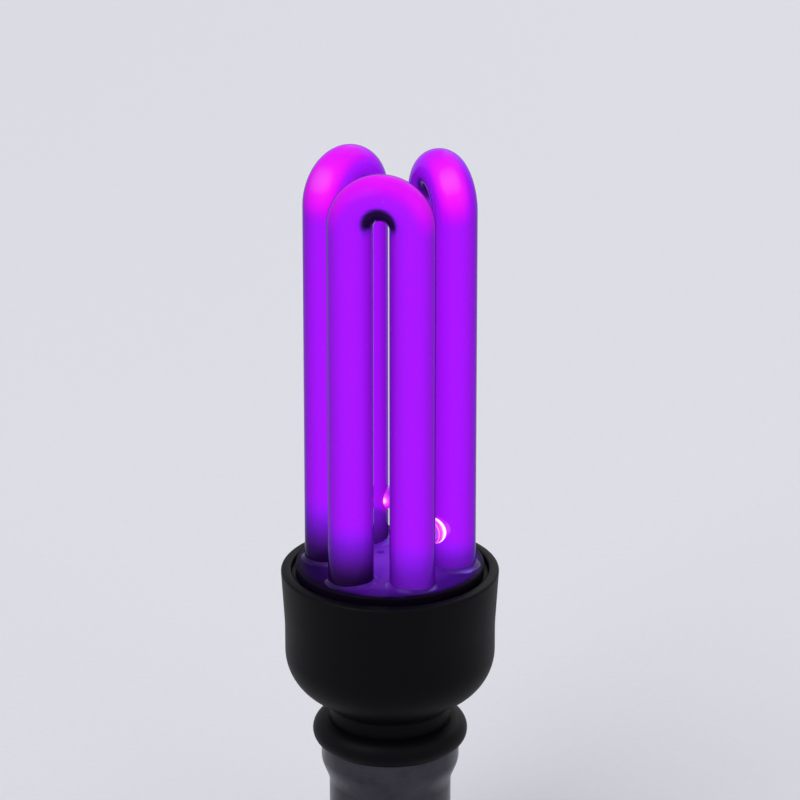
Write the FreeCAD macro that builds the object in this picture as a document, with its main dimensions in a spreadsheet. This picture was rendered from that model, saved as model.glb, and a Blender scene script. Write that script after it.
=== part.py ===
"""Three-U black light lamp: glass tube set, moulded housing, ballast and screw cap, upright on its contact.

The origin is the tip of the centre contact, +Z runs up the lamp's axis, and the front U faces -Y.
All sizes are millimetres and live in the sheet called sizes.
"""
import FreeCAD, Part
import math
import os

import Sketcher
from FreeCAD import Placement, Rotation, Vector

SIZES = (
    ("solder_height", 0.8, "solder dome under the contact"),
    ("solder_radius", 2.2, "solder dome, at the contact"),
    ("contact_radius", 4.8, "centre contact disc"),
    ("contact_thickness", 0.6, "centre contact disc"),
    ("eyelet_radius", 1.1, "stem of the contact in the insulator"),
    ("eyelet_rise", 0.6, "stem above the insulator"),
    ("insulator_drop", 3.2, "insulator below the shell's lip"),
    ("insulator_face_radius", 5.4, "flat foot of the insulator"),
    ("insulator_body", 2.4, "insulator above the shell's lip"),
    ("lip_width", 0.8, "shell's turned-in lip, from the shell's bore"),
    ("sheet_wall", 0.4, "sheet metal of the shell"),
    ("thread_root_radius", 12.2, "shell between the thread's turns"),
    ("thread_depth", 0.85, "height of the thread's turns"),
    ("thread_pitch", 3.629, "pitch of the thread"),
    ("thread_width", 2.3, "foot of one thread turn"),
    ("thread_length", 13.5, "threaded stretch of the shell"),
    ("band_step", 0.8, "plain band outside the thread's root"),
    ("band_length", 7.0, "plain band above the thread"),
    ("flare_length", 4.6, "cone between band and skirt"),
    ("spigot_wall", 1.3, "collar's spigot, between the neck and the shell's skirt"),
    ("skirt_length", 4.1, "top of the shell"),
    ("collar_foot", 2.6, "flat foot of the collar below its bulge's middle"),
    ("collar_bulge", 3.0, "radius of the collar's rounded section"),
    ("collar_width", 3.5, "widest place of the collar, outside the neck"),
    ("neck_gap", 3.4, "neck seen between collar and bowl"),
    ("neck_radius", 13.0, "outside of the housing's neck"),
    ("neck_wall", 1.8, "wall of the neck"),
    ("bowl_radius", 22.6, "arc of the bowl's outside"),
    ("bowl_wall", 1.8, "wall of the bowl"),
    ("belt_radius", 22.3, "where the bowl meets the straight wall"),
    ("rim_radius", 23.1, "outside of the rim"),
    ("rim_rise", 12.6, "rim's crest above the belt"),
    ("rim_wall", 2.3, "wall of the rim, round the mouth"),
    ("rim_round", 1.4, "outer rounding of the rim"),
    ("plate_proud", 1.3, "plate above the rim's crest"),
    ("plate_margin", 1.7, "plate's edge outside the tubes"),
    ("plate_thickness", 2.6, "tube plate"),
    ("plate_round", 0.5, "upper edge of the tube plate"),
    ("mouth_gap", 0.9, "gap between plate and rim"),
    ("seat_width", 0.8, "ledge under the plate's edge"),
    ("vent_radius", 0.8, "vent hole in the plate"),
    ("vent_x", -2.6, "vent hole"),
    ("vent_y", 4.3, "vent hole"),
    ("hole_clearance", 0.35, "plate holes round the tubes"),
    ("bead_width", 1.1, "sealant bead round a tube"),
    ("bead_height", 0.9, "sealant bead round a tube"),
    ("bead_edge", 0.25, "top of a sealant bead"),
    ("tube_radius", 4.8, "outside of the glass tube"),
    ("glass_wall", 0.9, "glass tube"),
    ("leg_half_angle", 29.02, "degrees between a U's middle and its leg, seen from the axis"),
    ("tube_height", 89.8, "top of the tubes above the plate"),
    ("leg_sink", 4.6, "straight legs below the plate's top"),
    ("bridge_radius", 3.0, "glass bridge between two legs"),
    ("bridge_wall", 0.8, "glass bridge between two legs"),
    ("bridge_rise", 9.8, "glass bridge above the plate"),
    ("pinch_width", 5.6, "pressed seal of an electrode leg"),
    ("pinch_depth", 2.8, "pressed seal of an electrode leg"),
    ("pinch_drop", 1.6, "pressed seal below the rounded foot"),
    ("pinch_bury", 3.0, "pressed seal inside the rounded foot"),
    ("lead_radius", 0.3, "electrode lead wire"),
    ("lead_spacing", 2.8, "the two leads of an electrode"),
    ("filament_radius", 0.45, "coated electrode coil"),
    ("filament_length", 4.4, "coated electrode coil"),
    ("filament_rise", 9.0, "tops of the leads above the plate"),
    ("mount_bead_radius", 2.5, "glass bead between the leads"),
    ("mount_bead_height", 1.8, "glass bead between the leads"),
    ("mount_bead_rise", 3.5, "glass bead above the plate"),
    ("board_drop", 15.0, "board's top below the plate's top"),
    ("board_thickness", 1.6, "circuit board"),
    ("board_clearance", 0.2, "board's edge in the housing"),
    ("ledge_width", 1.5, "ledge under the board's edge"),
    ("parts_gap", 1.2, "parts under the board, inside the ledge"),
    ("choke_x", 3.0, "choke's middle"),
    ("choke_y", 0.0, "choke's middle"),
    ("core_width", 11.0, "choke core"),
    ("core_depth", 5.0, "choke core"),
    ("core_height", 11.0, "choke core"),
    ("core_yoke", 1.6, "choke core's yokes and outer legs"),
    ("core_leg", 2.8, "choke core's middle leg"),
    ("bobbin_wall", 0.5, "choke bobbin"),
    ("bobbin_fit", 0.1, "bobbin round the core's leg and in its windows"),
    ("flange_reach", 2.3, "bobbin's flanges past the core's faces"),
    ("winding_inset", 0.4, "winding inside the flanges' edges"),
    ("bulk_radius", 4.0, "bulk capacitor"),
    ("bulk_length", 10.0, "bulk capacitor"),
    ("bulk_groove", 0.5, "crimped groove of the bulk capacitor"),
    ("bulk_groove_drop", 2.0, "crimped groove below the board"),
    ("bulk_x", -9.8, "bulk capacitor"),
    ("toroid_radius", 3.8, "drive toroid's outside"),
    ("toroid_bore", 2.0, "drive toroid's hole"),
    ("toroid_height", 3.6, "drive toroid"),
    ("toroid_wire", 0.4, "windings over the toroid"),
    ("toroid_sector", 44.0, "degrees covered by one winding"),
    ("toroid_angle", 94.7, "degrees, drive toroid's place round the axis"),
    ("transistor_radius", 2.4, "transistor"),
    ("transistor_height", 4.8, "transistor"),
    ("transistor_flat", 1.3, "flat side from the transistor's middle"),
    ("transistor_upper_angle", 46.0, "degrees, first transistor's place round the axis"),
    ("transistor_lower_angle", 17.4, "degrees, second transistor's place round the axis"),
    ("resonant_width", 6.4, "resonant film capacitor"),
    ("resonant_depth", 3.2, "resonant film capacitor"),
    ("resonant_height", 6.0, "resonant film capacitor"),
    ("resonant_angle", 230.2, "degrees, resonant film capacitor's place round the axis"),
    ("coupling_width", 8.0, "coupling film capacitor"),
    ("coupling_depth", 3.4, "coupling film capacitor"),
    ("coupling_height", 7.0, "coupling film capacitor"),
    ("coupling_angle", 283.3, "degrees, coupling film capacitor's place round the axis"),
    ("film_round", 0.8, "rounded edges of the film capacitors"),
    ("thermistor_radius", 2.6, "start thermistor's disc"),
    ("thermistor_thickness", 2.2, "start thermistor's disc"),
    ("thermistor_stand", 1.2, "start thermistor below the board"),
    ("thermistor_angle", 325.4, "degrees, start thermistor's place round the axis"),
    ("diode_radius", 1.3, "rectifier diode"),
    ("diode_length", 4.6, "rectifier diode"),
    ("diode_pitch", 3.4, "row of rectifier diodes"),
    ("resistor_radius", 0.9, "resistor"),
    ("resistor_length", 3.4, "resistor"),
    ("resistor_pitch", 5.6, "resistors from the board's middle"),
    ("diac_radius", 0.9, "trigger diac"),
    ("diac_length", 3.0, "trigger diac"),
    ("diac_x", 8.6, "trigger diac"),
    ("axial_lead_radius", 0.3, "leads of the axial parts"),
    ("axial_lead_reach", 1.6, "leads past an axial part's body"),
    ("axial_lead_bend", 0.8, "bend of an axial part's lead"),
    ("axial_stand", 0.4, "axial parts above the board"),
    ("wire_radius", 0.4, "line and shell leads"),
    ("wire_bend", 4.0, "bend of the line and shell leads"),
    ("fuse_radius", 1.8, "fuse resistor"),
    ("fuse_length", 8.0, "fuse resistor"),
    ("fuse_rise", 6.0, "fuse resistor above the insulator"),
    ("line_x", -3.6, "line lead on the board"),
    ("line_rise", 5.0, "line lead, straight stretch above the fuse"),
    ("line_slope", 12.0, "line lead, height of its slanted stretch"),
    ("shell_lead_y", -6.8, "shell lead on the board"),
    ("shell_lead_rise", 3.0, "shell lead's joint above the thread"),
    ("wire_end_gap", 0.1, "shell lead from the shell's wall"),
)
U_COUNT = 3
U_TURN = 360.0 / U_COUNT
LEFT, RIGHT = -1, 1
ELECTRODES = (("front", 0, LEFT), ("left", 2, RIGHT))
WINDINGS = 3
DIODES = 4

ABOUT_X = Rotation(Vector(1, 0, 0), 90)
ABOUT_Y = Rotation(Vector(0, 1, 0), 90)
UPRIGHT = Rotation()

# Heights up the axis, each worked out from the one below it
CONTACT_FOOT = "sizes.solder_height"
INSULATOR_FOOT = f"({CONTACT_FOOT} + sizes.contact_thickness)"
LIP = f"({INSULATOR_FOOT} + sizes.insulator_drop)"
LIP_TOP = f"({LIP} + sizes.sheet_wall)"
INSULATOR_TOP = f"({LIP_TOP} + sizes.insulator_body)"
FUSE_FOOT = f"({INSULATOR_TOP} + sizes.fuse_rise)"
FUSE_TOP = f"({FUSE_FOOT} + sizes.fuse_length)"
THREAD_TOP = f"({LIP} + sizes.thread_length)"
BAND_FOOT = f"({THREAD_TOP} + sizes.band_step)"
BAND_TOP = f"({THREAD_TOP} + sizes.band_length)"
FLARE_TOP = f"({BAND_TOP} + sizes.flare_length)"
SKIRT_TOP = f"({FLARE_TOP} + sizes.skirt_length)"
COLLAR_MIDDLE = f"({SKIRT_TOP} + sizes.collar_foot)"
COLLAR_TOP = f"({COLLAR_MIDDLE} + sizes.collar_bulge)"
BOWL_END = f"({COLLAR_TOP} + sizes.neck_gap)"
BOWL_MIDDLE = "(sizes.belt_radius - sizes.bowl_radius)"
BELT = f"({BOWL_END} + sqrt(sizes.bowl_radius ^ 2 - (sizes.neck_radius - {BOWL_MIDDLE}) ^ 2))"
RIM = f"({BELT} + sizes.rim_rise)"
PLATE_TOP = f"({RIM} + sizes.plate_proud)"
PLATE_FOOT = f"({PLATE_TOP} - sizes.plate_thickness)"
BOARD_TOP = f"({PLATE_TOP} - sizes.board_drop)"
BOARD_FOOT = f"({BOARD_TOP} - sizes.board_thickness)"
LEG_FOOT = f"({PLATE_TOP} - sizes.leg_sink)"

# Radii and distances that several pieces share
SHELL_BORE = "(sizes.thread_root_radius - sizes.sheet_wall)"
LIP_BORE = f"({SHELL_BORE} - sizes.lip_width)"
BAND_RADIUS = "(sizes.thread_root_radius + sizes.band_step)"
BAND_BORE = f"({BAND_RADIUS} - sizes.sheet_wall)"
SKIRT_BORE = "(sizes.neck_radius + sizes.spigot_wall)"
SKIRT_RADIUS = f"({SKIRT_BORE} + sizes.sheet_wall)"
BULGE_MIDDLE = "(sizes.neck_radius + sizes.collar_width - sizes.collar_bulge)"
BULGE_END = f"({BULGE_MIDDLE} + sqrt(sizes.collar_bulge ^ 2 - sizes.collar_foot ^ 2))"
MOUTH = "(sizes.rim_radius - sizes.rim_wall)"
RIM_CREST = "(sizes.rim_radius - sizes.rim_round)"
RIM_INNER_ROUND = "(sizes.rim_wall - sizes.rim_round)"
PLATE_RADIUS = f"({MOUTH} - sizes.mouth_gap)"
SEAT_BORE = f"({PLATE_RADIUS} - sizes.seat_width)"
LEDGE_BORE = f"({SEAT_BORE} - sizes.ledge_width)"
NECK_BORE = "(sizes.neck_radius - sizes.neck_wall)"
BOWL_BORE = "(sizes.bowl_radius - sizes.bowl_wall)"
LEG_RING = f"({PLATE_RADIUS} - sizes.plate_margin - sizes.tube_radius)"
LEG_HALF_GAP = f"({LEG_RING} * sin(sizes.leg_half_angle * 1 deg))"
U_OUT = f"({LEG_RING} * cos(sizes.leg_half_angle * 1 deg))"
ARCH = f"({PLATE_TOP} + sizes.tube_height - sizes.tube_radius - {LEG_HALF_GAP})"
BRIDGE_SPAN = f"(sqrt(3) * {U_OUT} - {LEG_HALF_GAP})"
TUBE_BORE = "(sizes.tube_radius - sizes.glass_wall)"
BRIDGE_BORE = "(sizes.bridge_radius - sizes.bridge_wall)"

doc = FreeCAD.newDocument("black_light_lamp")
sheet = doc.addObject("Spreadsheet::Sheet", "sizes")
for row, (alias, number, note) in enumerate(SIZES, start=1):
    sheet.set(f"A{row}", note)
    sheet.set(f"B{row}", str(number))
    sheet.setAlias(f"B{row}", alias)
doc.recompute()

nodes = []


def measure(formula):
    """Returns the present value of a formula on the sheet's sizes."""
    return float(sheet.evalExpression(formula))


def keep(item, label):
    """Names a finished piece, which is written out under that name."""
    item.Label = label
    nodes.append(item)
    return item


def bind(item, **formulas):
    """Ties properties of an object to formulas on the sheet's sizes."""
    for name, formula in formulas.items():
        item.setExpression(name, formula)
    return item


def place(item, x, y, z, turn=0.0, stance=UPRIGHT):
    """Sets an object at x, y, z in a frame that is turned about the lamp's axis, in a given stance."""
    item.Placement = Placement(Vector(), Rotation(Vector(0, 0, 1), turn) * stance)
    cosine = f"cos({turn} deg)"
    sine = f"sin({turn} deg)"
    item.setExpression("Placement.Base.x", f"({x}) * {cosine} - ({y}) * {sine}")
    item.setExpression("Placement.Base.y", f"({x}) * {sine} + ({y}) * {cosine}")
    item.setExpression("Placement.Base.z", z)
    return item


def rod(name, radius, height):
    """Makes a round bar."""
    return bind(doc.addObject("Part::Cylinder", name), Radius=radius, Height=height)


def block(name, length, width, height):
    """Makes a rectangular block with its corner at its place."""
    return bind(doc.addObject("Part::Box", name), Length=length, Width=width, Height=height)


def join(name, pieces):
    """Fuses several objects into one."""
    fused = doc.addObject("Part::MultiFuse", name)
    fused.Shapes = pieces
    return fused


def cut(name, base, tool):
    """Takes one object away from another."""
    result = doc.addObject("Part::Cut", name)
    result.Base = base
    result.Tool = tool
    return result


def origin_plane(body, role):
    """Finds one of a body's own origin planes."""
    return next(plane for plane in body.Origin.OriginFeatures if plane.Role == role)


def new_sketch(body, name, role):
    """Starts a sketch on one of a body's origin planes."""
    sketch = body.newObject("Sketcher::SketchObject", name)
    sketch.AttachmentSupport = (origin_plane(body, role), [""])
    sketch.MapMode = "FlatFace"
    return sketch


def pin_corner(sketch, number, geometry, end, across, up):
    """Ties one corner of an outline to its two formulas, or to an axis where the formula is 0."""
    for kind, axis, formula in (("DistanceX", -2, across), ("DistanceY", -1, up)):
        if formula == "0":
            sketch.addConstraint(Sketcher.Constraint("PointOnObject", geometry, end, axis))
            continue
        index = sketch.addConstraint(Sketcher.Constraint(kind, -1, 1, geometry, end, measure(formula)))
        name = f"corner_{number}_{kind}"
        sketch.renameConstraint(index, name)
        sketch.setExpression(f"Constraints.{name}", formula)


def draw_outline(sketch, corners):
    """Draws a closed outline through corners of (across, up), with an arc where a centre follows.

    A corner may hold a third and fourth item: an arc's centre, and whether the arc runs clockwise from there.
    """
    spots = [Vector(measure(corner[0]), measure(corner[1]), 0) for corner in corners]
    ends = []
    for number, corner in enumerate(corners):
        here = spots[number]
        there = spots[(number + 1) % len(spots)]
        if len(corner) == 2:
            ends.append((sketch.addGeometry(Part.LineSegment(here, there)), 1, 2))
            continue
        (across, up), clockwise = corner[2:]
        middle = Vector(measure(across), measure(up), 0)
        first, last = (there, here) if clockwise else (here, there)
        angles = [math.atan2(spot.y - middle.y, spot.x - middle.x) for spot in (first, last)]
        circle = Part.Circle(middle, Vector(0, 0, 1), (here - middle).Length)
        geometry = sketch.addGeometry(Part.ArcOfCircle(circle, *angles))
        ends.append((geometry, 2, 1) if clockwise else (geometry, 1, 2))
        radius = f"sqrt(({across} - ({corner[0]})) ^ 2 + ({up} - ({corner[1]})) ^ 2)"
        index = sketch.addConstraint(Sketcher.Constraint("Radius", geometry, circle.Radius))
        sketch.renameConstraint(index, f"arc_{number}")
        sketch.setExpression(f"Constraints.arc_{number}", radius)
    for number, (geometry, start, _) in enumerate(ends):
        before, _, finish = ends[number - 1]
        sketch.addConstraint(Sketcher.Constraint("Coincident", before, finish, geometry, start))
        pin_corner(sketch, number, geometry, start, *corners[number][:2])


def turned(name, corners):
    """Makes a body of revolution about its own Z from an outline of radii and heights."""
    body = doc.addObject("PartDesign::Body", name)
    sketch = new_sketch(body, f"{name}_outline", "XZ_Plane")
    draw_outline(sketch, corners)
    turning = body.newObject("PartDesign::Revolution", f"{name}_turning")
    turning.Profile = sketch
    turning.ReferenceAxis = (sketch, ["V_Axis"])
    turning.Angle = 360
    return body


def rounded_block(name, width, depth, height, radius):
    """Makes a moulded block, centred on its place, with all its edges rounded."""
    body = doc.addObject("PartDesign::Body", name)
    sketch = new_sketch(body, f"{name}_outline", "XY_Plane")
    draw_outline(sketch, (("0", "0"), (width, "0"), (width, depth), ("0", depth)))
    pad = body.newObject("PartDesign::Pad", f"{name}_pad")
    pad.Profile = sketch
    bind(pad, Length=height)
    doc.recompute()
    rounding = body.newObject("PartDesign::Fillet", f"{name}_rounding")
    rounding.Base = (pad, [""])
    rounding.UseAllEdges = True
    bind(rounding, Radius=radius)
    return body


def wire_shape(points, radius, bend):
    """Sweeps a round wire along straight runs through points, with a tangent arc at each inner point."""
    spots = [Vector(*point) for point in points]
    edges = []
    start = spots[0]
    for before, corner, after in zip(spots, spots[1:], spots[2:]):
        inward = (before - corner).normalize()
        outward = (after - corner).normalize()
        half_turn = (math.pi - inward.getAngle(outward)) / 2
        trim = bend * math.tan(half_turn)
        first = corner + inward * trim
        last = corner + outward * trim
        bisector = (inward + outward).normalize()
        middle = corner + bisector * (bend / math.cos(half_turn) - bend)
        edges.append(Part.LineSegment(start, first).toShape())
        edges.append(Part.Arc(first, middle, last).toShape())
        start = last
    edges.append(Part.LineSegment(start, spots[-1]).toShape())
    along = spots[1] - spots[0]
    section = Part.Face(Part.Wire(Part.makeCircle(radius, spots[0], along)))
    return Part.Wire(edges).makePipe(section)


def feature(name, shape):
    """Holds a shape that is worked out here from the sheet's sizes."""
    item = doc.addObject("Part::Feature", name)
    item.Shape = shape
    return item


def axial_part(radius, length, middle_x, middle_y, turn):
    """Shapes a small axial part on the board: a round body with two leads bent down to the board."""
    lead = measure("sizes.axial_lead_radius")
    reach = length / 2 + measure("sizes.axial_lead_reach")
    rise = radius + measure("sizes.axial_stand")
    body = Part.makeCylinder(radius, length, Vector(-length / 2, 0, rise), Vector(1, 0, 0))
    bend = measure("sizes.axial_lead_bend")
    leads = [
        wire_shape(((side * length / 2, 0, rise), (side * reach, 0, rise), (side * reach, 0, 0)), lead, bend)
        for side in (LEFT, RIGHT)
    ]
    shape = body.fuse(leads)
    spot = Vector(middle_x, middle_y, measure(BOARD_TOP))
    shape.Placement = Placement(spot, Rotation(Vector(0, 0, 1), turn))
    return shape


def leg_spot(side, shift="0"):
    """Returns a leg's place in its U's own frame, shifted along the U by a formula."""
    return f"({side}) * {LEG_HALF_GAP} + ({shift})", f"-{U_OUT}"


def tube_set(name, radius, bridge_radius):
    """Makes the outside or the inside of the glass vessel: legs, arches, rounded feet and bridges."""
    pieces = []
    for number in range(U_COUNT):
        turn = number * U_TURN
        for side in (LEFT, RIGHT):
            tag = f"{name}_{number}_{'left' if side == LEFT else 'right'}"
            spot = leg_spot(side)
            leg = rod(f"{tag}_leg", radius, f"{ARCH} - {LEG_FOOT}")
            foot = bind(doc.addObject("Part::Sphere", f"{tag}_foot"), Radius=radius)
            foot.Angle2 = 0
            pieces += [place(leg, *spot, LEG_FOOT, turn), place(foot, *spot, LEG_FOOT, turn)]
        arch = doc.addObject("Part::Torus", f"{name}_{number}_arch")
        bind(arch, Radius1=LEG_HALF_GAP, Radius2=radius)
        arch.Angle3 = 180
        pieces.append(place(arch, "0", f"-{U_OUT}", ARCH, turn, ABOUT_X))
    lean = Rotation(Vector(0, 0, 1), U_TURN / 2) * ABOUT_Y
    for number in range(U_COUNT - 1):
        bridge = rod(f"{name}_{number}_bridge", bridge_radius, BRIDGE_SPAN)
        height = f"{PLATE_TOP} + sizes.bridge_rise"
        pieces.append(place(bridge, *leg_spot(RIGHT), height, number * U_TURN, lean))
    return pieces


def ledge_spot(tag, reach):
    """Returns the place of a part under the board that stands inside the ledge, at its own angle."""
    distance = f"({LEDGE_BORE} - sizes.parts_gap - ({reach}))"
    angle = f"sizes.{tag}_angle * 1 deg"
    return f"{distance} * cos({angle})", f"{distance} * sin({angle})"


def lead_rods(name, leg, radius, foot, height):
    """Makes the pair of thin rods that run up an electrode leg."""
    number, side = leg
    pair = []
    for tag, shift in (("a", "-sizes.lead_spacing / 2"), ("b", "sizes.lead_spacing / 2")):
        lead = rod(f"{name}_{tag}", radius, height)
        pair.append(place(lead, *leg_spot(side, shift), foot, number * U_TURN))
    return pair


def discharge_tube():
    """Makes the glass vessel, with a pressed seal and two lead holes at each electrode leg."""
    outside = tube_set("glass", "sizes.tube_radius", "sizes.bridge_radius")
    inside = tube_set("hollow", TUBE_BORE, BRIDGE_BORE)
    seal_foot = f"{LEG_FOOT} - sizes.tube_radius - sizes.pinch_drop"
    for tag, number, side in ELECTRODES:
        seal_height = "sizes.pinch_drop + sizes.pinch_bury"
        seal = block(f"{tag}_seal", "sizes.pinch_width", "sizes.pinch_depth", seal_height)
        across, out = leg_spot(side, "-sizes.pinch_width / 2")
        place(seal, across, f"{out} - sizes.pinch_depth / 2", seal_foot, number * U_TURN)
        outside.append(seal)
        hole_height = f"{LEG_FOOT} - ({seal_foot})"
        inside += lead_rods(f"{tag}_lead_hole", (number, side), "sizes.lead_radius", seal_foot, hole_height)
    vessel = cut("glass_vessel", join("glass_outside", outside), join("glass_inside", inside))
    keep(vessel, "discharge_tube")


def electrodes():
    """Makes each electrode: two lead wires down to the board, the bead between them and the coated coil."""
    lead_top = f"{PLATE_TOP} + sizes.filament_rise"
    for tag, number, side in ELECTRODES:
        leg = (number, side)
        turn = number * U_TURN
        lead_length = f"{lead_top} - {BOARD_FOOT}"
        for lead in lead_rods(f"{tag}_lead", leg, "sizes.lead_radius", BOARD_FOOT, lead_length):
            keep(lead, lead.Name)
        bead = rod(f"{tag}_bead", "sizes.mount_bead_radius", "sizes.mount_bead_height")
        bead_foot = f"{PLATE_TOP} + sizes.mount_bead_rise"
        place(bead, *leg_spot(side), bead_foot, turn)
        holes = lead_rods(f"{tag}_bead_hole", leg, "sizes.lead_radius", bead_foot, "sizes.mount_bead_height")
        keep(cut(f"{tag}_bead_body", bead, join(f"{tag}_bead_holes", holes)), f"{tag}_mount_bead")
        filament = rod(f"{tag}_coil", "sizes.filament_radius", "sizes.filament_length")
        spot = leg_spot(side, "-sizes.filament_length / 2")
        place(filament, *spot, f"{lead_top} + sizes.filament_radius", turn, ABOUT_Y)
        keep(filament, f"{tag}_filament")


def tube_plate():
    """Makes the pale disc that closes the housing, with its six tube holes and the vent."""
    edge = f"({PLATE_RADIUS} - sizes.plate_round)"
    shoulder = f"({PLATE_TOP} - sizes.plate_round)"
    disc = turned("plate_disc", (
        ("0", PLATE_FOOT),
        (PLATE_RADIUS, PLATE_FOOT),
        (PLATE_RADIUS, shoulder, (edge, shoulder), False),
        (edge, PLATE_TOP),
        ("0", PLATE_TOP),
    ))
    holes = []
    bore = "sizes.tube_radius + sizes.hole_clearance"
    for number in range(U_COUNT):
        for side in (LEFT, RIGHT):
            hole = rod(f"plate_hole_{len(holes)}", bore, "sizes.plate_thickness")
            holes.append(place(hole, *leg_spot(side), PLATE_FOOT, number * U_TURN))
    vent = rod("plate_vent", "sizes.vent_radius", "sizes.plate_thickness")
    holes.append(place(vent, "sizes.vent_x", "sizes.vent_y", PLATE_FOOT))
    keep(cut("plate_body", disc, join("plate_holes", holes)), "tube_plate")


def foot_sealant():
    """Makes the six sloped beads of sealant round the tube feet."""
    beads = []
    for number in range(U_COUNT):
        for side in (LEFT, RIGHT):
            tag = f"sealant_{len(beads)}"
            slope = doc.addObject("Part::Cone", f"{tag}_slope")
            bind(slope, Radius1="sizes.tube_radius + sizes.bead_width", Height="sizes.bead_height")
            bind(slope, Radius2="sizes.tube_radius + sizes.bead_edge")
            tube = rod(f"{tag}_tube", "sizes.tube_radius", "sizes.bead_height")
            for item in (slope, tube):
                place(item, *leg_spot(side), PLATE_TOP, number * U_TURN)
            beads.append(cut(tag, slope, tube))
    group = doc.addObject("Part::Compound", "sealant_beads")
    group.Links = beads
    keep(group, "foot_sealant")


def housing():
    """Makes the black moulded bowl with its rim, the two ledges inside and the neck."""
    middle = (BOWL_MIDDLE, BELT)
    ledge_end = f"({BELT} - sqrt({BOWL_BORE} ^ 2 - ({LEDGE_BORE} - {BOWL_MIDDLE}) ^ 2))"
    neck_top = f"({BELT} - sqrt({BOWL_BORE} ^ 2 - ({NECK_BORE} - {BOWL_MIDDLE}) ^ 2))"
    outer_round = f"({RIM} - sizes.rim_round)"
    inner_round = f"({RIM} - {RIM_INNER_ROUND})"
    keep(turned("housing", (
        ("sizes.neck_radius", FLARE_TOP),
        ("sizes.neck_radius", BOWL_END, middle, False),
        ("sizes.belt_radius", BELT),
        ("sizes.rim_radius", outer_round, (RIM_CREST, outer_round), False),
        (RIM_CREST, RIM, (RIM_CREST, inner_round), False),
        (MOUTH, inner_round),
        (MOUTH, PLATE_FOOT),
        (SEAT_BORE, PLATE_FOOT),
        (SEAT_BORE, BOARD_FOOT),
        (LEDGE_BORE, BOARD_FOOT),
        (LEDGE_BORE, ledge_end, middle, True),
        (NECK_BORE, neck_top),
        (NECK_BORE, FLARE_TOP),
    )), "housing")


def neck_collar():
    """Makes the rounded ring on the neck, with the spigot that the shell's skirt fits over."""
    keep(turned("collar", (
        ("sizes.neck_radius", FLARE_TOP),
        (SKIRT_BORE, FLARE_TOP),
        (SKIRT_BORE, SKIRT_TOP),
        (BULGE_END, SKIRT_TOP, (BULGE_MIDDLE, COLLAR_MIDDLE), False),
        (BULGE_MIDDLE, COLLAR_TOP),
        ("sizes.neck_radius", COLLAR_TOP),
    )), "neck_collar")


def screw_shell():
    """Makes the sheet-metal cap: skirt, flare, plain band, threaded stretch and turned-in lip."""
    shell = turned("shell", (
        (LIP_BORE, LIP),
        ("sizes.thread_root_radius", LIP),
        ("sizes.thread_root_radius", THREAD_TOP),
        (BAND_RADIUS, BAND_FOOT),
        (BAND_RADIUS, BAND_TOP),
        (SKIRT_RADIUS, FLARE_TOP),
        (SKIRT_RADIUS, SKIRT_TOP),
        (SKIRT_BORE, SKIRT_TOP),
        (SKIRT_BORE, FLARE_TOP),
        (BAND_BORE, BAND_TOP),
        (BAND_BORE, BAND_FOOT),
        (SHELL_BORE, THREAD_TOP),
        (SHELL_BORE, LIP_TOP),
        (LIP_BORE, LIP_TOP),
    ))
    section = new_sketch(shell, "thread_section", "XZ_Plane")
    foot = "(sizes.thread_root_radius - sizes.sheet_wall / 2)"
    turn_round = "((sizes.thread_width ^ 2 / 4 + sizes.thread_depth ^ 2) / (2 * sizes.thread_depth))"
    turn_middle = f"(sizes.thread_root_radius + sizes.thread_depth - {turn_round})"
    turn_top = f"({LIP_TOP} + sizes.thread_width)"
    draw_outline(section, (
        (foot, LIP_TOP),
        ("sizes.thread_root_radius", LIP_TOP, (turn_middle, f"({LIP_TOP} + sizes.thread_width / 2)"), False),
        ("sizes.thread_root_radius", turn_top),
        (foot, turn_top),
    ))
    thread = shell.newObject("PartDesign::AdditiveHelix", "thread")
    thread.Profile = section
    thread.ReferenceAxis = (section, ["V_Axis"])
    thread.Mode = "pitch-height-angle"
    bind(thread, Pitch="sizes.thread_pitch")
    bind(thread, Height="sizes.thread_length - sizes.sheet_wall - sizes.thread_width")
    keep(shell, "screw_shell")


def cap_foot():
    """Makes the glass insulator, the contact with its eyelet stem and the solder dome."""
    keep(turned("insulator", (
        ("sizes.eyelet_radius", INSULATOR_FOOT),
        ("sizes.insulator_face_radius", INSULATOR_FOOT),
        (LIP_BORE, LIP),
        (LIP_BORE, LIP_TOP),
        (SHELL_BORE, LIP_TOP),
        (SHELL_BORE, INSULATOR_TOP),
        ("sizes.eyelet_radius", INSULATOR_TOP),
    )), "cap_insulator")
    stem_top = f"({INSULATOR_TOP} + sizes.eyelet_rise)"
    keep(turned("contact", (
        ("sizes.wire_radius", CONTACT_FOOT),
        ("sizes.contact_radius", CONTACT_FOOT),
        ("sizes.contact_radius", INSULATOR_FOOT),
        ("sizes.eyelet_radius", INSULATOR_FOOT),
        ("sizes.eyelet_radius", stem_top),
        ("sizes.wire_radius", stem_top),
    )), "centre_contact")
    dome = "((sizes.solder_radius ^ 2 + sizes.solder_height ^ 2) / (2 * sizes.solder_height))"
    keep(turned("solder", (
        ("0", "0", ("0", dome), False),
        ("sizes.solder_radius", CONTACT_FOOT),
        ("0", CONTACT_FOOT),
    )), "contact_solder")


def circuit_board():
    """Makes the round board, with a hole for each electrode lead."""
    disc = rod("board_disc", f"{SEAT_BORE} - sizes.board_clearance", "sizes.board_thickness")
    place(disc, "0", "0", BOARD_FOOT)
    holes = []
    through = "sizes.board_thickness"
    for tag, number, side in ELECTRODES:
        holes += lead_rods(f"{tag}_board_hole", (number, side), "sizes.lead_radius", BOARD_FOOT, through)
    keep(cut("board_body", disc, join("board_holes", holes)), "circuit_board")


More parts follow.
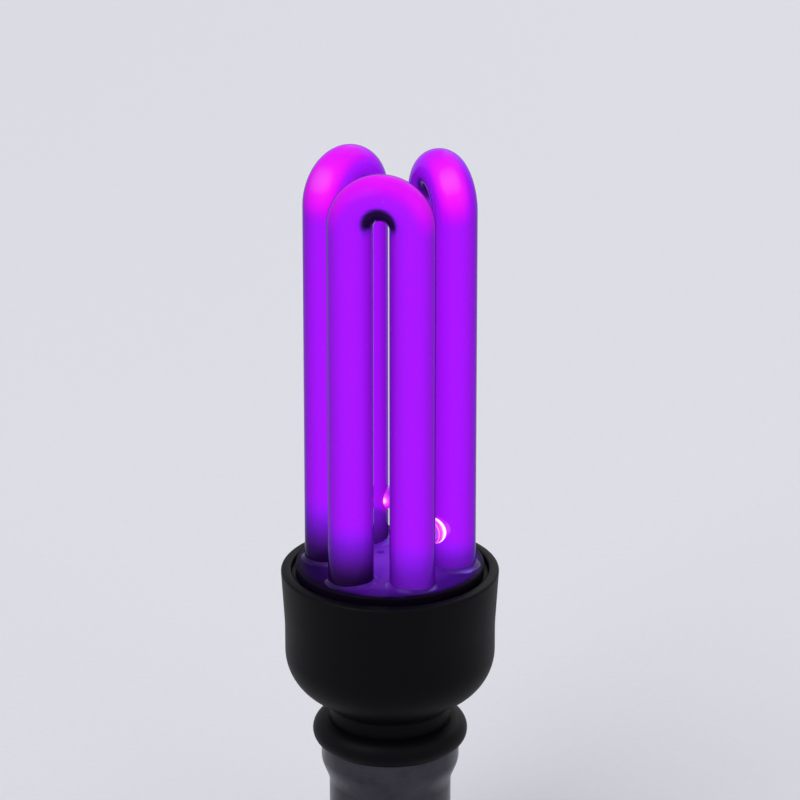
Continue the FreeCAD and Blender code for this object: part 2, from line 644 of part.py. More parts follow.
def choke():
    """Makes the choke under the board: a core with two windows, a bobbin on its middle leg and a winding."""
    window_height = "(sizes.core_height - 2 * sizes.core_yoke)"
    window_width = "((sizes.core_width - sizes.core_leg) / 2 - sizes.core_yoke)"
    window_foot = f"({BOARD_FOOT} - sizes.core_height + sizes.core_yoke)"

    def centred(name, width, depth, height, foot):
        item = block(name, width, depth, height)
        return place(item, f"sizes.choke_x - ({width}) / 2", f"sizes.choke_y - ({depth}) / 2", foot)

    frame = centred("core_frame", "sizes.core_width", "sizes.core_depth", "sizes.core_height",
                    f"{BOARD_FOOT} - sizes.core_height")
    windows = []
    for side in (LEFT, RIGHT):
        window = block(f"core_window_{len(windows)}", window_width, "sizes.core_depth", window_height)
        reach = f"({side}) * (sizes.core_leg + {window_width}) / 2"
        middle = f"sizes.choke_x + {reach} - {window_width} / 2"
        windows.append(place(window, middle, "sizes.choke_y - sizes.core_depth / 2", window_foot))
    keep(cut("core_body", frame, join("core_windows", windows)), "choke_core")

    bore_width = "(sizes.core_leg + 2 * sizes.bobbin_fit)"
    bore_depth = "(sizes.core_depth + 2 * sizes.bobbin_fit)"
    tube_width = f"({bore_width} + 2 * sizes.bobbin_wall)"
    tube_depth = f"({bore_depth} + 2 * sizes.bobbin_wall)"
    flange_width = f"(sizes.core_leg + 2 * {window_width} - 2 * sizes.bobbin_fit)"
    flange_depth = "(sizes.core_depth + 2 * sizes.flange_reach)"
    bobbin_height = f"({window_height} - 2 * sizes.bobbin_fit)"
    bobbin_foot = f"({window_foot} + sizes.bobbin_fit)"
    flanges = [
        centred("bobbin_flange_low", flange_width, flange_depth, "sizes.bobbin_wall", bobbin_foot),
        centred("bobbin_flange_high", flange_width, flange_depth, "sizes.bobbin_wall",
                f"{bobbin_foot} + {bobbin_height} - sizes.bobbin_wall"),
    ]
    tube = centred("bobbin_tube", tube_width, tube_depth, bobbin_height, bobbin_foot)
    bore = centred("bobbin_bore", bore_width, bore_depth, bobbin_height, bobbin_foot)
    keep(cut("bobbin_body", join("bobbin_blank", [tube] + flanges), bore), "choke_bobbin")

    coil_height = f"({bobbin_height} - 2 * sizes.bobbin_wall)"
    coil_foot = f"({bobbin_foot} + sizes.bobbin_wall)"
    coil = centred("coil_blank", f"{flange_width} - 2 * sizes.winding_inset",
                   f"{flange_depth} - 2 * sizes.winding_inset", coil_height, coil_foot)
    room = centred("coil_room", tube_width, tube_depth, coil_height, coil_foot)
    keep(cut("coil_body", coil, room), "choke_winding")


def round_parts():
    """Makes the bulk capacitor, the drive toroid with its windings and the transistors, under the board."""
    can = rod("bulk_can", "sizes.bulk_radius", "sizes.bulk_length")
    place(can, "sizes.bulk_x", "0", f"{BOARD_FOOT} - sizes.bulk_length")
    groove = doc.addObject("Part::Torus", "bulk_groove_ring")
    bind(groove, Radius1="sizes.bulk_radius", Radius2="sizes.bulk_groove")
    place(groove, "sizes.bulk_x", "0", f"{BOARD_FOOT} - sizes.bulk_groove_drop")
    keep(cut("bulk_body", can, groove), "bulk_capacitor")

    toroid_spot = ledge_spot("toroid", "sizes.toroid_radius + sizes.toroid_wire")

    def toroid_ring(name, outer, bore, height, foot):
        blank = rod(f"{name}_blank", outer, height)
        hole = rod(f"{name}_hole", bore, height)
        for item in (blank, hole):
            place(item, *toroid_spot, foot)
        return blank, cut(name, blank, hole)

    core_foot = f"{BOARD_FOOT} - sizes.toroid_wire - sizes.toroid_height"
    core_sizes = ("sizes.toroid_radius", "sizes.toroid_bore", "sizes.toroid_height")
    _, core = toroid_ring("toroid_core", *core_sizes, core_foot)
    keep(core, "drive_toroid")
    turns = []
    turn_sizes = (
        "sizes.toroid_radius + sizes.toroid_wire",
        "sizes.toroid_bore - sizes.toroid_wire",
        "sizes.toroid_height + 2 * sizes.toroid_wire",
    )
    for number in range(WINDINGS):
        blank, ring = toroid_ring(f"toroid_turns_{number}", *turn_sizes, f"{core_foot} - sizes.toroid_wire")
        bind(blank, Angle="sizes.toroid_sector")
        blank.Placement.Rotation = Rotation(Vector(0, 0, 1), number * 360 / WINDINGS)
        turns.append(cut(f"toroid_winding_{number}", ring, core))
    group = doc.addObject("Part::Compound", "toroid_turns")
    group.Links = turns
    keep(group, "toroid_windings")

    wide = "2 * sizes.transistor_radius"
    foot = f"{BOARD_FOOT} - sizes.transistor_height"
    for tag in ("transistor_upper", "transistor_lower"):
        spot = ledge_spot(tag, "sizes.transistor_radius")
        barrel = rod(f"{tag}_barrel", "sizes.transistor_radius", "sizes.transistor_height")
        place(barrel, *spot, foot)
        flat = block(f"{tag}_flat", wide, "sizes.transistor_radius", "sizes.transistor_height")
        place(flat, f"{spot[0]} - sizes.transistor_radius", f"{spot[1]} + sizes.transistor_flat", foot)
        keep(cut(f"{tag}_body", barrel, flat), tag)


def film_capacitors():
    """Makes the two dipped film capacitors under the board."""
    for tag in ("resonant", "coupling"):
        width, depth, height = (f"sizes.{tag}_{side}" for side in ("width", "depth", "height"))
        body = rounded_block(f"{tag}_body", width, depth, height, "sizes.film_round")
        across, out = ledge_spot(tag, f"sqrt({width} ^ 2 + {depth} ^ 2) / 2")
        place(body, f"{across} - {width} / 2", f"{out} - {depth} / 2", f"{BOARD_FOOT} - {height}")
        keep(body, f"{tag}_capacitor")


def thermistor():
    """Makes the start thermistor: a disc on edge on two short leads under the board."""
    middle = f"{BOARD_FOOT} - sizes.thermistor_stand - sizes.thermistor_radius"
    corner = "sqrt(sizes.thermistor_radius ^ 2 + sizes.thermistor_thickness ^ 2 / 4)"
    across, out = ledge_spot("thermistor", corner)
    disc = rod("thermistor_disc", "sizes.thermistor_radius", "sizes.thermistor_thickness")
    place(disc, across, f"{out} + sizes.thermistor_thickness / 2", middle, 0.0, ABOUT_X)
    pieces = [disc]
    for side in (LEFT, RIGHT):
        lead = rod(f"thermistor_lead_{len(pieces)}", "sizes.axial_lead_radius",
                   "sizes.thermistor_stand + sizes.thermistor_radius")
        pieces.append(place(lead, f"{across} + ({side}) * sizes.thermistor_radius / 2", out, middle))
    keep(join("thermistor_body", pieces), "start_thermistor")


def axial_parts():
    """Makes the diodes, the diac and the resistors that lie on the board's upper face."""
    radius, length, pitch = (measure(f"sizes.diode_{name}") for name in ("radius", "length", "pitch"))
    first = -pitch * (DIODES - 1) / 2
    diodes = [axial_part(radius, length, first + number * pitch, 0, 90) for number in range(DIODES)]
    keep(feature("diodes", Part.makeCompound(diodes)), "rectifier_diodes")
    radius, length = measure("sizes.diac_radius"), measure("sizes.diac_length")
    keep(feature("diac", axial_part(radius, length, measure("sizes.diac_x"), 0, 90)), "trigger_diac")
    radius, length, pitch = (measure(f"sizes.resistor_{name}") for name in ("radius", "length", "pitch"))
    clear = measure("sizes.diode_length / 2 + sizes.axial_lead_reach + sizes.resistor_radius * 2")
    resistors = [
        axial_part(radius, length, across * pitch / 2, up * clear, 0)
        for across in (LEFT, RIGHT)
        for up in (LEFT, RIGHT)
    ]
    keep(feature("resistor_set", Part.makeCompound(resistors)), "resistors")


def mains_leads():
    """Makes the line lead with its fuse resistor, and the lead that joins the shell to the board."""
    lower = rod("line_lower", "sizes.wire_radius", f"{FUSE_FOOT} - {CONTACT_FOOT}")
    keep(place(lower, "0", "0", CONTACT_FOOT), "line_lead_lower")
    fuse = rod("fuse", "sizes.fuse_radius", "sizes.fuse_length")
    keep(place(fuse, "0", "0", FUSE_FOOT), "fuse_resistor")
    radius, bend = measure("sizes.wire_radius"), measure("sizes.wire_bend")
    board = measure(BOARD_FOOT)
    start = measure(FUSE_TOP)
    straight = start + measure("sizes.line_rise")
    across = measure("sizes.line_x")
    route = (
        (0, 0, start),
        (0, 0, straight),
        (across, 0, straight + measure("sizes.line_slope")),
        (across, 0, board),
    )
    keep(feature("line_upper", wire_shape(route, radius, bend)), "line_lead_upper")
    joint = measure(f"{BAND_FOOT} + sizes.shell_lead_rise")
    out = measure("sizes.shell_lead_y")
    wall = -measure(f"{BAND_BORE} - sizes.wire_end_gap")
    route = ((0, out, board), (0, out, joint), (0, wall, joint))
    keep(feature("shell_wire", wire_shape(route, radius, bend)), "shell_lead")


def check():
    """Stops if any object failed or any piece is empty or broken."""
    faults = [item.Name for item in doc.Objects if {"Invalid", "Error"} & set(item.State)]
    faults += [item.Label for item in nodes if item.Shape.isNull() or not item.Shape.isValid()]
    if faults:
        raise RuntimeError("failed pieces: " + ", ".join(faults))


def write():
    """Writes each piece to its own file."""
    os.makedirs("parts", exist_ok=True)
    for item in nodes:
        item.Shape.exportStep(f"parts/{item.Label}.step")


discharge_tube()
electrodes()
tube_plate()
foot_sealant()
housing()
neck_collar()
screw_shell()
cap_foot()
circuit_board()
choke()
round_parts()
film_capacitors()
thermistor()
axial_parts()
mains_leads()
doc.recompute()
check()
write()
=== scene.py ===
"""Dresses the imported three-U black light lamp: lit tubes, pale plate, black housing and metal screw cap.

Lengths are in metres, written as counts of MM. The lamp stands on its contact, with +Z up its axis and the
front U towards -Y. Each sub-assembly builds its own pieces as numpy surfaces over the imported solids.
"""

import logging
import math
from dataclasses import dataclass, field
from enum import Enum
from typing import Any, ClassVar, Mapping, Sequence, Union

import bmesh
import bpy
import numpy as np
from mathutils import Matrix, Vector


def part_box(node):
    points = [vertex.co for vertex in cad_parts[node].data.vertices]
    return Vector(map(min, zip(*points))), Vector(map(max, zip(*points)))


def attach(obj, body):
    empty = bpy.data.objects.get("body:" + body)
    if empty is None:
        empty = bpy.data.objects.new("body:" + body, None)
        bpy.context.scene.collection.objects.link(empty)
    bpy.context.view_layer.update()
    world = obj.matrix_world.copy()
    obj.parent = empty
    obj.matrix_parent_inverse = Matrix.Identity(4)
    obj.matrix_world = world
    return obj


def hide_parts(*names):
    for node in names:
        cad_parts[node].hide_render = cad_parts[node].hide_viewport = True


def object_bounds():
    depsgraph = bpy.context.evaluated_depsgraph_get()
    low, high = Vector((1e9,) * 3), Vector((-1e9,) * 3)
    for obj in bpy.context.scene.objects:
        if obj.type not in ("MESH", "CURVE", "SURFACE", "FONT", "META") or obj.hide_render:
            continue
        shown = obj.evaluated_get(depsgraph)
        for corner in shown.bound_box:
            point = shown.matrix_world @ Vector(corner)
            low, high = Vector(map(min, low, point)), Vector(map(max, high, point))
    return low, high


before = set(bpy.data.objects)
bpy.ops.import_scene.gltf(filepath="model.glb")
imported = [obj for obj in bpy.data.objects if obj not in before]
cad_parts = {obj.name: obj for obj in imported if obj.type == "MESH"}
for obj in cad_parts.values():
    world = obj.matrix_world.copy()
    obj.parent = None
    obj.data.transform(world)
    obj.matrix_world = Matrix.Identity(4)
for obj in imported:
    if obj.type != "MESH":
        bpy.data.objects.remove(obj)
CAD_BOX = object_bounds()
MM = 0.001
BODY = "root"
EDGE_SHARE = 0.49  # most of an edge that the arc of one corner takes
MERGE_GAP = 2e-7  # points nearer than this become one
LOG = logging.getLogger("lamp")
Colour = tuple[float, float, float, float]
Stops = tuple[tuple[float, Colour], ...]


class Side(Enum):
    """Which leg of a U, seen from outside the lamp."""

    LEFT = -1
    RIGHT = 1


class Lay(Enum):
    """How the fine lines of a finish lie: a noise's stretch along x, y and z."""

    EVEN = (1.0, 1.0, 1.0)
    UPRIGHT = (1.0, 1.0, 0.06)
    ROUND = (0.04, 0.04, 1.0)


def srgb(red: int, green: int, blue: int) -> Colour:
    """Turns a display colour into the shader's linear colour.

    Args:
        red: Display value from 0 to 255.
        green: Display value from 0 to 255.
        blue: Display value from 0 to 255.

    Returns:
        The linear colour, opaque.
    """
    share = np.array([red, green, blue]) / 255.0
    linear = np.where(share <= 0.04045, share / 12.92, ((share + 0.055) / 1.055) ** 2.4)
    return (*linear.tolist(), 1.0)


def smooth(value: np.ndarray, low: float, high: float) -> np.ndarray:
    """Eases from 0 at low to 1 at high, as 3t^2 - 2t^3 of the share t of the way.

    Args:
        value: Numbers to ease.
        low: Where the result starts to leave 0.
        high: Where it reaches 1.

    Returns:
        The eased shares.
    """
    share = np.clip((value - low) / (high - low), 0.0, 1.0)
    return share * share * (3.0 - 2.0 * share)


def hump(value: np.ndarray, middle: float, width: float) -> np.ndarray:
    """A bell that is 1 at its middle, exp(-((v - m) / w)^2)."""
    return np.exp(-(((value - middle) / width) ** 2))


def circle(count: int) -> np.ndarray:
    """Angles of evenly spaced points round a full turn, without the repeated end."""
    return np.arange(count) * (2.0 * math.pi / count)


def heights(node: str) -> tuple[float, float]:
    """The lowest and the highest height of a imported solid."""
    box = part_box(node)
    return box[0].z, box[1].z


def rounded(corners: Sequence[tuple[float, float, float]], steps: int = 8) -> np.ndarray:
    """Rounds the corners of a closed outline with true arcs.

    Each corner's arc touches both its edges, so its middle lies on the corner's bisector, radius / sin(half
    angle) away. An arc takes EDGE_SHARE of an edge at most.

    Args:
        corners: Radius from the axis, height and rounding of each corner, in order round the outline.
        steps: Points on each arc.

    Returns:
        The outline's points, one row of (radius, height) each.
    """
    given = np.array(corners, float)
    spots, wanted = given[:, :2], given[:, 2]
    back, ahead = np.roll(spots, 1, 0) - spots, np.roll(spots, -1, 0) - spots
    long_back, long_ahead = np.linalg.norm(back, axis=1), np.linalg.norm(ahead, axis=1)
    back, ahead = back / long_back[:, None], ahead / long_ahead[:, None]
    half = np.arccos(np.clip((back * ahead).sum(1), -1.0, 1.0)) / 2.0
    reach = np.minimum(wanted / np.tan(half), EDGE_SHARE * np.minimum(long_back, long_ahead))
    radius = reach * np.tan(half)
    bisector = back + ahead
    bisector /= np.linalg.norm(bisector, axis=1)[:, None]
    middle = spots + bisector * (radius / np.sin(half))[:, None]
    start, stop = spots + back * reach[:, None] - middle, spots + ahead * reach[:, None] - middle
    first = np.arctan2(start[:, 1], start[:, 0])
    sweep = (np.arctan2(stop[:, 1], stop[:, 0]) - first + math.pi) % (2.0 * math.pi) - math.pi
    angle = first[:, None] + sweep[:, None] * np.linspace(0.0, 1.0, steps)
    arcs = middle[:, None] + radius[:, None, None] * np.stack([np.cos(angle), np.sin(angle)], -1)
    return arcs.reshape(-1, 2)


def turned(radius: np.ndarray, height: np.ndarray, turn: np.ndarray) -> np.ndarray:
    """Carries radii and heights round the lamp's axis: x = r cos t, y = r sin t, z = height.

    Args:
        radius: Distances from the axis, as a column or as row by turn.
        height: Heights, in the same way.
        turn: Angles round the axis.

    Returns:
        The grid of points, row by turn by 3.
    """
    return np.stack(np.broadcast_arrays(radius * np.cos(turn), radius * np.sin(turn), height), -1)


def lathe(outline: np.ndarray, around: int = 192) -> np.ndarray:
    """Turns an outline about the lamp's axis.

    Args:
        outline: Rows of (radius, height).
        around: Points round the axis.

    Returns:
        The grid of points, outline by turn by 3.
    """
    return turned(outline[:, :1], outline[:, 1:], circle(around))


@dataclass
class Skin:
    """One mesh gathered from grids of points, each closed round its second direction.

    Attributes:
        points: Points of each grid.
        quads: Corner numbers of each grid's faces.
        values: Named numbers at the points, grid by grid.
    """

    points: list[np.ndarray] = field(default_factory=list)
    quads: list[np.ndarray] = field(default_factory=list)
    values: dict[str, list[np.ndarray]] = field(default_factory=dict)

    def add(self, rows: np.ndarray, ring: bool = False, **values: np.ndarray) -> "Skin":
        """Adds a grid, with its faces turned outward.

        Args:
            rows: Points, row by turn by 3.
            ring: Whether the last row joins the first one.
            **values: Numbers for the points, row by turn.

        Returns:
            This skin, for chained calls.
        """
        count, around = rows.shape[:2]
        base = sum(len(part) for part in self.points)
        row, turn = np.arange(count if ring else count - 1)[:, None], np.arange(around)[None, :]
        later, beside = (row + 1) % count, (turn + 1) % around
        corners = (row * around + turn, row * around + beside, later * around + beside, later * around + turn)
        quads = np.stack(np.broadcast_arrays(*corners), -1).reshape(-1, 4)
        flat = rows.reshape(-1, 3)
        first, second, third, fourth = (flat[quads[:, corner]] - flat.mean(0) for corner in range(4))
        volume = (first * (np.cross(second, third) + np.cross(third, fourth))).sum()
        self.quads.append((quads if volume > 0 else quads[:, ::-1]) + base)
        self.points.append(flat)
        for name, value in values.items():
            self.values.setdefault(name, []).append(np.broadcast_to(value, (count, around)).ravel())
        return self

    def make(self, name: str, sharp: float = 40.0) -> bpy.types.Object:
        """Makes the smooth-shaded object, with its poles closed.

        Args:
            name: Name of the object.
            sharp: Angle between faces, in degrees, above which an edge stays sharp.

        Returns:
            The new object, at the origin.
        """
        mesh = bpy.data.meshes.new(name)
        mesh.from_pydata(np.concatenate(self.points).tolist(), [], np.concatenate(self.quads).tolist())
        for key, parts in self.values.items():
            layer = mesh.attributes.new(key, "FLOAT", "POINT")
            layer.data.foreach_set("value", np.concatenate(parts).astype(np.float32))
        net = bmesh.new()
        net.from_mesh(mesh)
        bmesh.ops.remove_doubles(net, verts=net.verts, dist=MERGE_GAP)
        net.to_mesh(mesh)
        net.free()
        mesh.polygons.foreach_set("use_smooth", np.ones(len(mesh.polygons), bool))
        mesh.set_sharp_from_angle(angle=math.radians(sharp))
        made = bpy.data.objects.new(name, mesh)
        bpy.context.scene.collection.objects.link(made)
        return made


class Value:
    """A shader socket whose arithmetic adds Math nodes to its graph."""

    def __init__(self, graph: "Graph", socket: bpy.types.NodeSocket) -> None:
        """Keeps the socket and the graph that it belongs to."""
        self.graph = graph
        self.socket = socket

    def __add__(self, other: "Number") -> "Value":
        """Returns self + other."""
        return self.graph.math("ADD", self, other)

    def __radd__(self, other: "Number") -> "Value":
        """Returns other + self."""
        return self.graph.math("ADD", other, self)

    def __sub__(self, other: "Number") -> "Value":
        """Returns self - other."""
        return self.graph.math("SUBTRACT", self, other)

    def __rsub__(self, other: "Number") -> "Value":
        """Returns other - self."""
        return self.graph.math("SUBTRACT", other, self)

    def __mul__(self, other: "Number") -> "Value":
        """Returns self * other."""
        return self.graph.math("MULTIPLY", self, other)

    def __rmul__(self, other: "Number") -> "Value":
        """Returns other * self."""
        return self.graph.math("MULTIPLY", other, self)

    def __truediv__(self, other: "Number") -> "Value":
        """Returns self / other."""
        return self.graph.math("DIVIDE", self, other)

    def __rtruediv__(self, other: "Number") -> "Value":
        """Returns other / self."""
        return self.graph.math("DIVIDE", other, self)

    def eased(self, low: float, high: float) -> "Value":
        """Eases from 0 at low to 1 at high.

        Args:
            low: Where the result starts to leave 0.
            high: Where it reaches 1.

        Returns:
            The eased share.
        """
        settings = {"interpolation_type": "SMOOTHSTEP"}
        return self.graph.node("MapRange", settings, {"Value": self, "From Min": low, "From Max": high})


Number = Union[Value, float]


class Graph:
    """The nodes of one material or world, round its one shader."""

    def __init__(self, owner: Union[bpy.types.Material, bpy.types.World]) -> None:
        """Turns on the owner's nodes and finds its shader.

        Args:
            owner: The material or world.
        """
        owner.use_nodes = True
        self.tree = owner.node_tree
        shaders = ("BSDF_PRINCIPLED", "BACKGROUND")
        self.shader = next(node for node in self.tree.nodes if node.type in shaders)

    def node(self, kind: str, settings: Mapping[str, Any], inputs: Mapping[Union[str, int], Any],
             output: Union[str, int] = 0) -> Value:
        """Adds one node.

        Args:
            kind: Node type, without its prefix.
            settings: Properties of the node, set first; stops are the colours of a ramp.
            inputs: Values or links of its sockets.
            output: Socket to hand back.

        Returns:
            The chosen output.
        """
        made = self.tree.nodes.new(f"ShaderNode{kind}")
        for key, setting in settings.items():
            if key == "stops":
                self.set_stops(made.color_ramp, setting)
            else:
                setattr(made, key, setting)
        for key, given in inputs.items():
            self.feed(made.inputs[key], given)
        return Value(self, made.outputs[output])

    @staticmethod
    def set_stops(ramp: bpy.types.ColorRamp, stops: Stops) -> None:
        """Gives a ramp its places and colours.

        Args:
            ramp: The ramp.
            stops: Place from 0 to 1 and colour of each stop, in order.
        """
        ramp.elements[0].position, ramp.elements[0].color = stops[0]
        ramp.elements[1].position, ramp.elements[1].color = stops[-1]
        for place, colour in stops[1:-1]:
            ramp.elements.new(place).color = colour

    def feed(self, socket: bpy.types.NodeSocket, given: Any) -> None:
        """Links a value to a socket, or sets the socket's own number.

        Args:
            socket: The socket.
            given: The value, or the number, colour or vector.
        """
        if isinstance(given, Value):
            self.tree.links.new(given.socket, socket)
        else:
            socket.default_value = given

    def shade(self, **given: Any) -> None:
        """Feeds the shader's sockets.

        Args:
            **given: Socket names, with _ for a space, and their values or links.
        """
        for key, value in given.items():
            self.feed(self.shader.inputs[key.replace("_", " ")], value)

    def math(self, operation: str, first: Number, second: Number) -> Value:
        """Adds one Math node for two numbers."""
        return self.node("Math", {"operation": operation}, {0: first, 1: second})

    def place(self) -> Value:
        """The point in the object's own coordinates, in metres."""
        return self.node("TexCoord", {}, {}, "Object")

    def along(self, axis: int) -> Value:
        """The point's own coordinate along x, y or z, as 0, 1 or 2."""
        return self.node("SeparateXYZ", {}, {0: self.place()}, axis)

    def ripple(self, axis: int, length: float) -> Value:
        """A sine wave along one axis, with the given length of one wave in metres."""
        return self.math("SINE", self.along(axis) * (2.0 * math.pi / length), 0.0)

    def noise(self, size: float, lay: Lay = Lay.EVEN, detail: float = 3.0) -> Value:
        """Adds a cloudy noise from 0 to 1.

        Args:
            size: Width of one cloud, in metres.
            lay: Which way the clouds are drawn out.
            detail: Finer layers added to it.

        Returns:
            The noise.
        """
        scaled = self.node("Mapping", {}, {"Vector": self.place(), "Scale": lay.value})
        return self.node("TexNoise", {}, {"Vector": scaled, "Scale": 1.0 / size, "Detail": detail})

    def specks(self, gap: float, share: float) -> Value:
        """Adds round specks, 1 in the middle of a speck and 0 between them.

        Args:
            gap: Distance between the specks' cells, in metres.
            share: Radius of a speck as a share of the gap.

        Returns:
            The specks.
        """
        full = 0.6 * share
        cells = {"Vector": self.place(), "Scale": 1.0 / gap}
        return 1.0 - self.node("TexVoronoi", {}, cells, "Distance").eased(full, share)

    def mix(self, factor: Number, first: Any, second: Any) -> Value:
        """Mixes two colours, which are inputs 6 and 7 of a Mix node, and its output 2.

        Args:
            factor: Share of the second colour.
            first: Colour or link.
            second: Colour or link.

        Returns:
            The mixed colour.
        """
        return self.node("Mix", {"data_type": "RGBA"}, {0: factor, 6: first, 7: second}, 2)

    def ramp(self, factor: Value, stops: Stops) -> Value:
        """Picks a colour along a ramp by a factor from 0 to 1."""
        return self.node("ValToRGB", {"stops": stops}, {"Fac": factor})

    def bump(self, height: Value, depth: float, strength: float = 1.0) -> Value:
        """Turns a height from 0 to 1 into a bent normal.

        Args:
            height: The height.
            depth: Real depth of the relief, in metres.
            strength: Share of the bend that is kept.

        Returns:
            The normal.
        """
        return self.node("Bump", {}, {"Height": height, "Distance": depth, "Strength": strength})

    def stored(self, name: str) -> Value:
        """A number that the mesh holds at its points."""
        return self.node("Attribute", {"attribute_name": name}, {}, "Fac")

    def looked_at(self) -> Value:
        """1 on rays from the camera, a gloss or clear glass, and 0 on rays that carry light to the lamp."""
        camera, gloss, glass = (self.node("LightPath", {}, {}, f"Is {kind} Ray")
                                for kind in ("Camera", "Glossy", "Transmission"))
        return self.math("MAXIMUM", camera, self.math("MAXIMUM", gloss, glass))


@dataclass(frozen=True)
class Finish:
    """A finish, whose material is made once.

    Attributes:
        name: Name of the material.
    """

    name: str

    def material(self) -> bpy.types.Material:
        """Makes the material on the first call.

        Returns:
            The material.
        """
        title = f"{self.name}_finish"
        found = bpy.data.materials.get(title)
        if found is None:
            found = bpy.data.materials.new(title)
            self.paint(Graph(found))
        return found

    def paint(self, graph: Graph) -> None:
        """Fills the material's graph; each kind of finish has its own."""
        raise NotImplementedError


@dataclass(frozen=True)
class FilterGlass(Finish):
    """Dark violet drawn glass: a thin film that lets a fixed share of the light inside through.

    Attributes:
        body: Colour of the glass.
        line: Its colour along the draw lines.
        dust: Colour of the dust specks on it.
        unlit: Light that the glass itself scatters where the coating is dark.
        scatter: Light that it scatters where the coating is bright.
        cover: Share of the light that the glass holds back, seen straight on.
        edge: What the glass holds back more at its edges, on the straight legs.
        bend_edge: What it holds back less there on the glass that a bend has drawn thin.
        least: Share of the passed light that is left at the darkest edge.
        line_gap: Width of a draw line, in metres.
        line_depth: Depth of a draw line, in metres.
        dust_gap: Distance between the dust specks, in metres.
        dust_share: Radius of a speck as a share of that distance.
    """

    body: Colour = srgb(30, 4, 62)
    line: Colour = srgb(24, 3, 52)
    dust: Colour = srgb(176, 150, 205)
    unlit: Colour = srgb(2, 0, 4)
    scatter: Colour = srgb(44, 3, 106)
    cover: float = 0.76
    edge: float = 1.05
    bend_edge: float = 0.85
    least: float = 0.1
    line_gap: float = 3.0 * MM
    line_depth: float = 0.03 * MM
    dust_gap: float = 2.6 * MM
    dust_share: float = 0.035

    def paint(self, graph: Graph) -> None:
        """Draw lines bend the gloss, sparse dust specks dull it, and its edges let less light through.

        Args:
            graph: Graph of the material.
        """
        lines = graph.noise(self.line_gap, Lay.UPRIGHT)
        dust = graph.specks(self.dust_gap, self.dust_share)
        slant = graph.node("LayerWeight", {}, {"Blend": 0.5}, "Facing")
        edge = self.edge - self.bend_edge * graph.stored("thin")
        passed = graph.math("MAXIMUM", 1.0 - edge * slant, self.least) * (1.0 - self.cover)
        graph.shade(Base_Color=graph.mix(dust, graph.mix(lines, self.body, self.line), self.dust),
                    Roughness=0.05 + 0.06 * lines + 0.4 * dust,
                    Normal=graph.bump(lines, self.line_depth, 0.4),
                    Emission_Color=graph.mix(graph.stored("glow"), self.unlit, self.scatter),
                    Emission_Strength=1.0, Specular_IOR_Level=0.03, Alpha=1.0 - passed)


@dataclass(frozen=True)
class LitCoating(Finish):
    """The lit powder coating inside the glass, coloured by the glow and blush stored at its points.

    Attributes:
        power: Strength of the light, so that the wanted colour shows through the glass.
        powder: Colour of the powder itself.
        patch: Colour of its cloudy patches.
        violet: Colours of the light by glow.
        pink: Colours of the light by blush.
        full_pink: Blush at which the pink has taken the violet's place.
        cloud: Width of a patch, in metres.
    """

    power: float = 4.1
    powder: Colour = srgb(46, 26, 60)
    patch: Colour = srgb(60, 36, 76)
    violet: Stops = (
        (0.0, srgb(10, 2, 18)), (0.05, srgb(36, 9, 64)), (0.22, srgb(74, 17, 129)),
        (0.62, srgb(120, 22, 208)), (0.88, srgb(154, 23, 250)), (1.0, srgb(173, 18, 254)))
    pink: Stops = (
        (0.0, srgb(173, 18, 254)), (0.35, srgb(203, 10, 255)), (0.6, srgb(236, 14, 253)),
        (0.85, srgb(252, 24, 252)), (1.0, srgb(255, 70, 252)))
    full_pink: float = 0.35
    cloud: float = 2.2 * MM

    def paint(self, graph: Graph) -> None:
        """Violet by glow, hot pink by blush, with a faint cloudiness of the powder.

        Args:
            graph: Graph of the material.
        """
        cloud, blush = graph.noise(self.cloud), graph.stored("blush")
        violet = graph.ramp(graph.stored("glow") * (0.95 + 0.1 * cloud), self.violet)
        pink = graph.ramp(blush, self.pink)
        graph.shade(Base_Color=graph.mix(cloud, self.powder, self.patch), Roughness=0.8 + 0.1 * cloud,
                    Emission_Color=graph.mix(blush.eased(0.0, self.full_pink), violet, pink),
                    Emission_Strength=self.power)


@dataclass(frozen=True)
class FusedGlass(Finish):
    """Clear glass fused between two tubes, bright where the stored glow says.

    Attributes:
        power: Strength of the light.
        body: Colour of the glass.
        wave: Its colour on the waves.
        light: Colours of the light by glow.
        wave_gap: Width of a wave, in metres.
        wave_depth: Depth of a wave, in metres.
    """

    power: float = 1.6
    body: Colour = srgb(70, 30, 110)
    wave: Colour = srgb(92, 44, 130)
    light: Stops = (
        (0.0, srgb(58, 8, 112)), (0.35, srgb(150, 18, 215)), (0.65, srgb(228, 60, 226)),
        (1.0, srgb(255, 226, 250)))
    wave_gap: float = 1.2 * MM
    wave_depth: float = 0.05 * MM

    def paint(self, graph: Graph) -> None:
        """Dim violet between the welds, pink-white on them, under a wavy gloss.

        Args:
            graph: Graph of the material.
        """
        wave = graph.noise(self.wave_gap)
        graph.shade(Base_Color=graph.mix(wave, self.body, self.wave), Roughness=0.06 + 0.08 * wave,
                    Emission_Color=graph.ramp(graph.stored("glow"), self.light),
                    Emission_Strength=self.power, Normal=graph.bump(wave, self.wave_depth, 0.5))


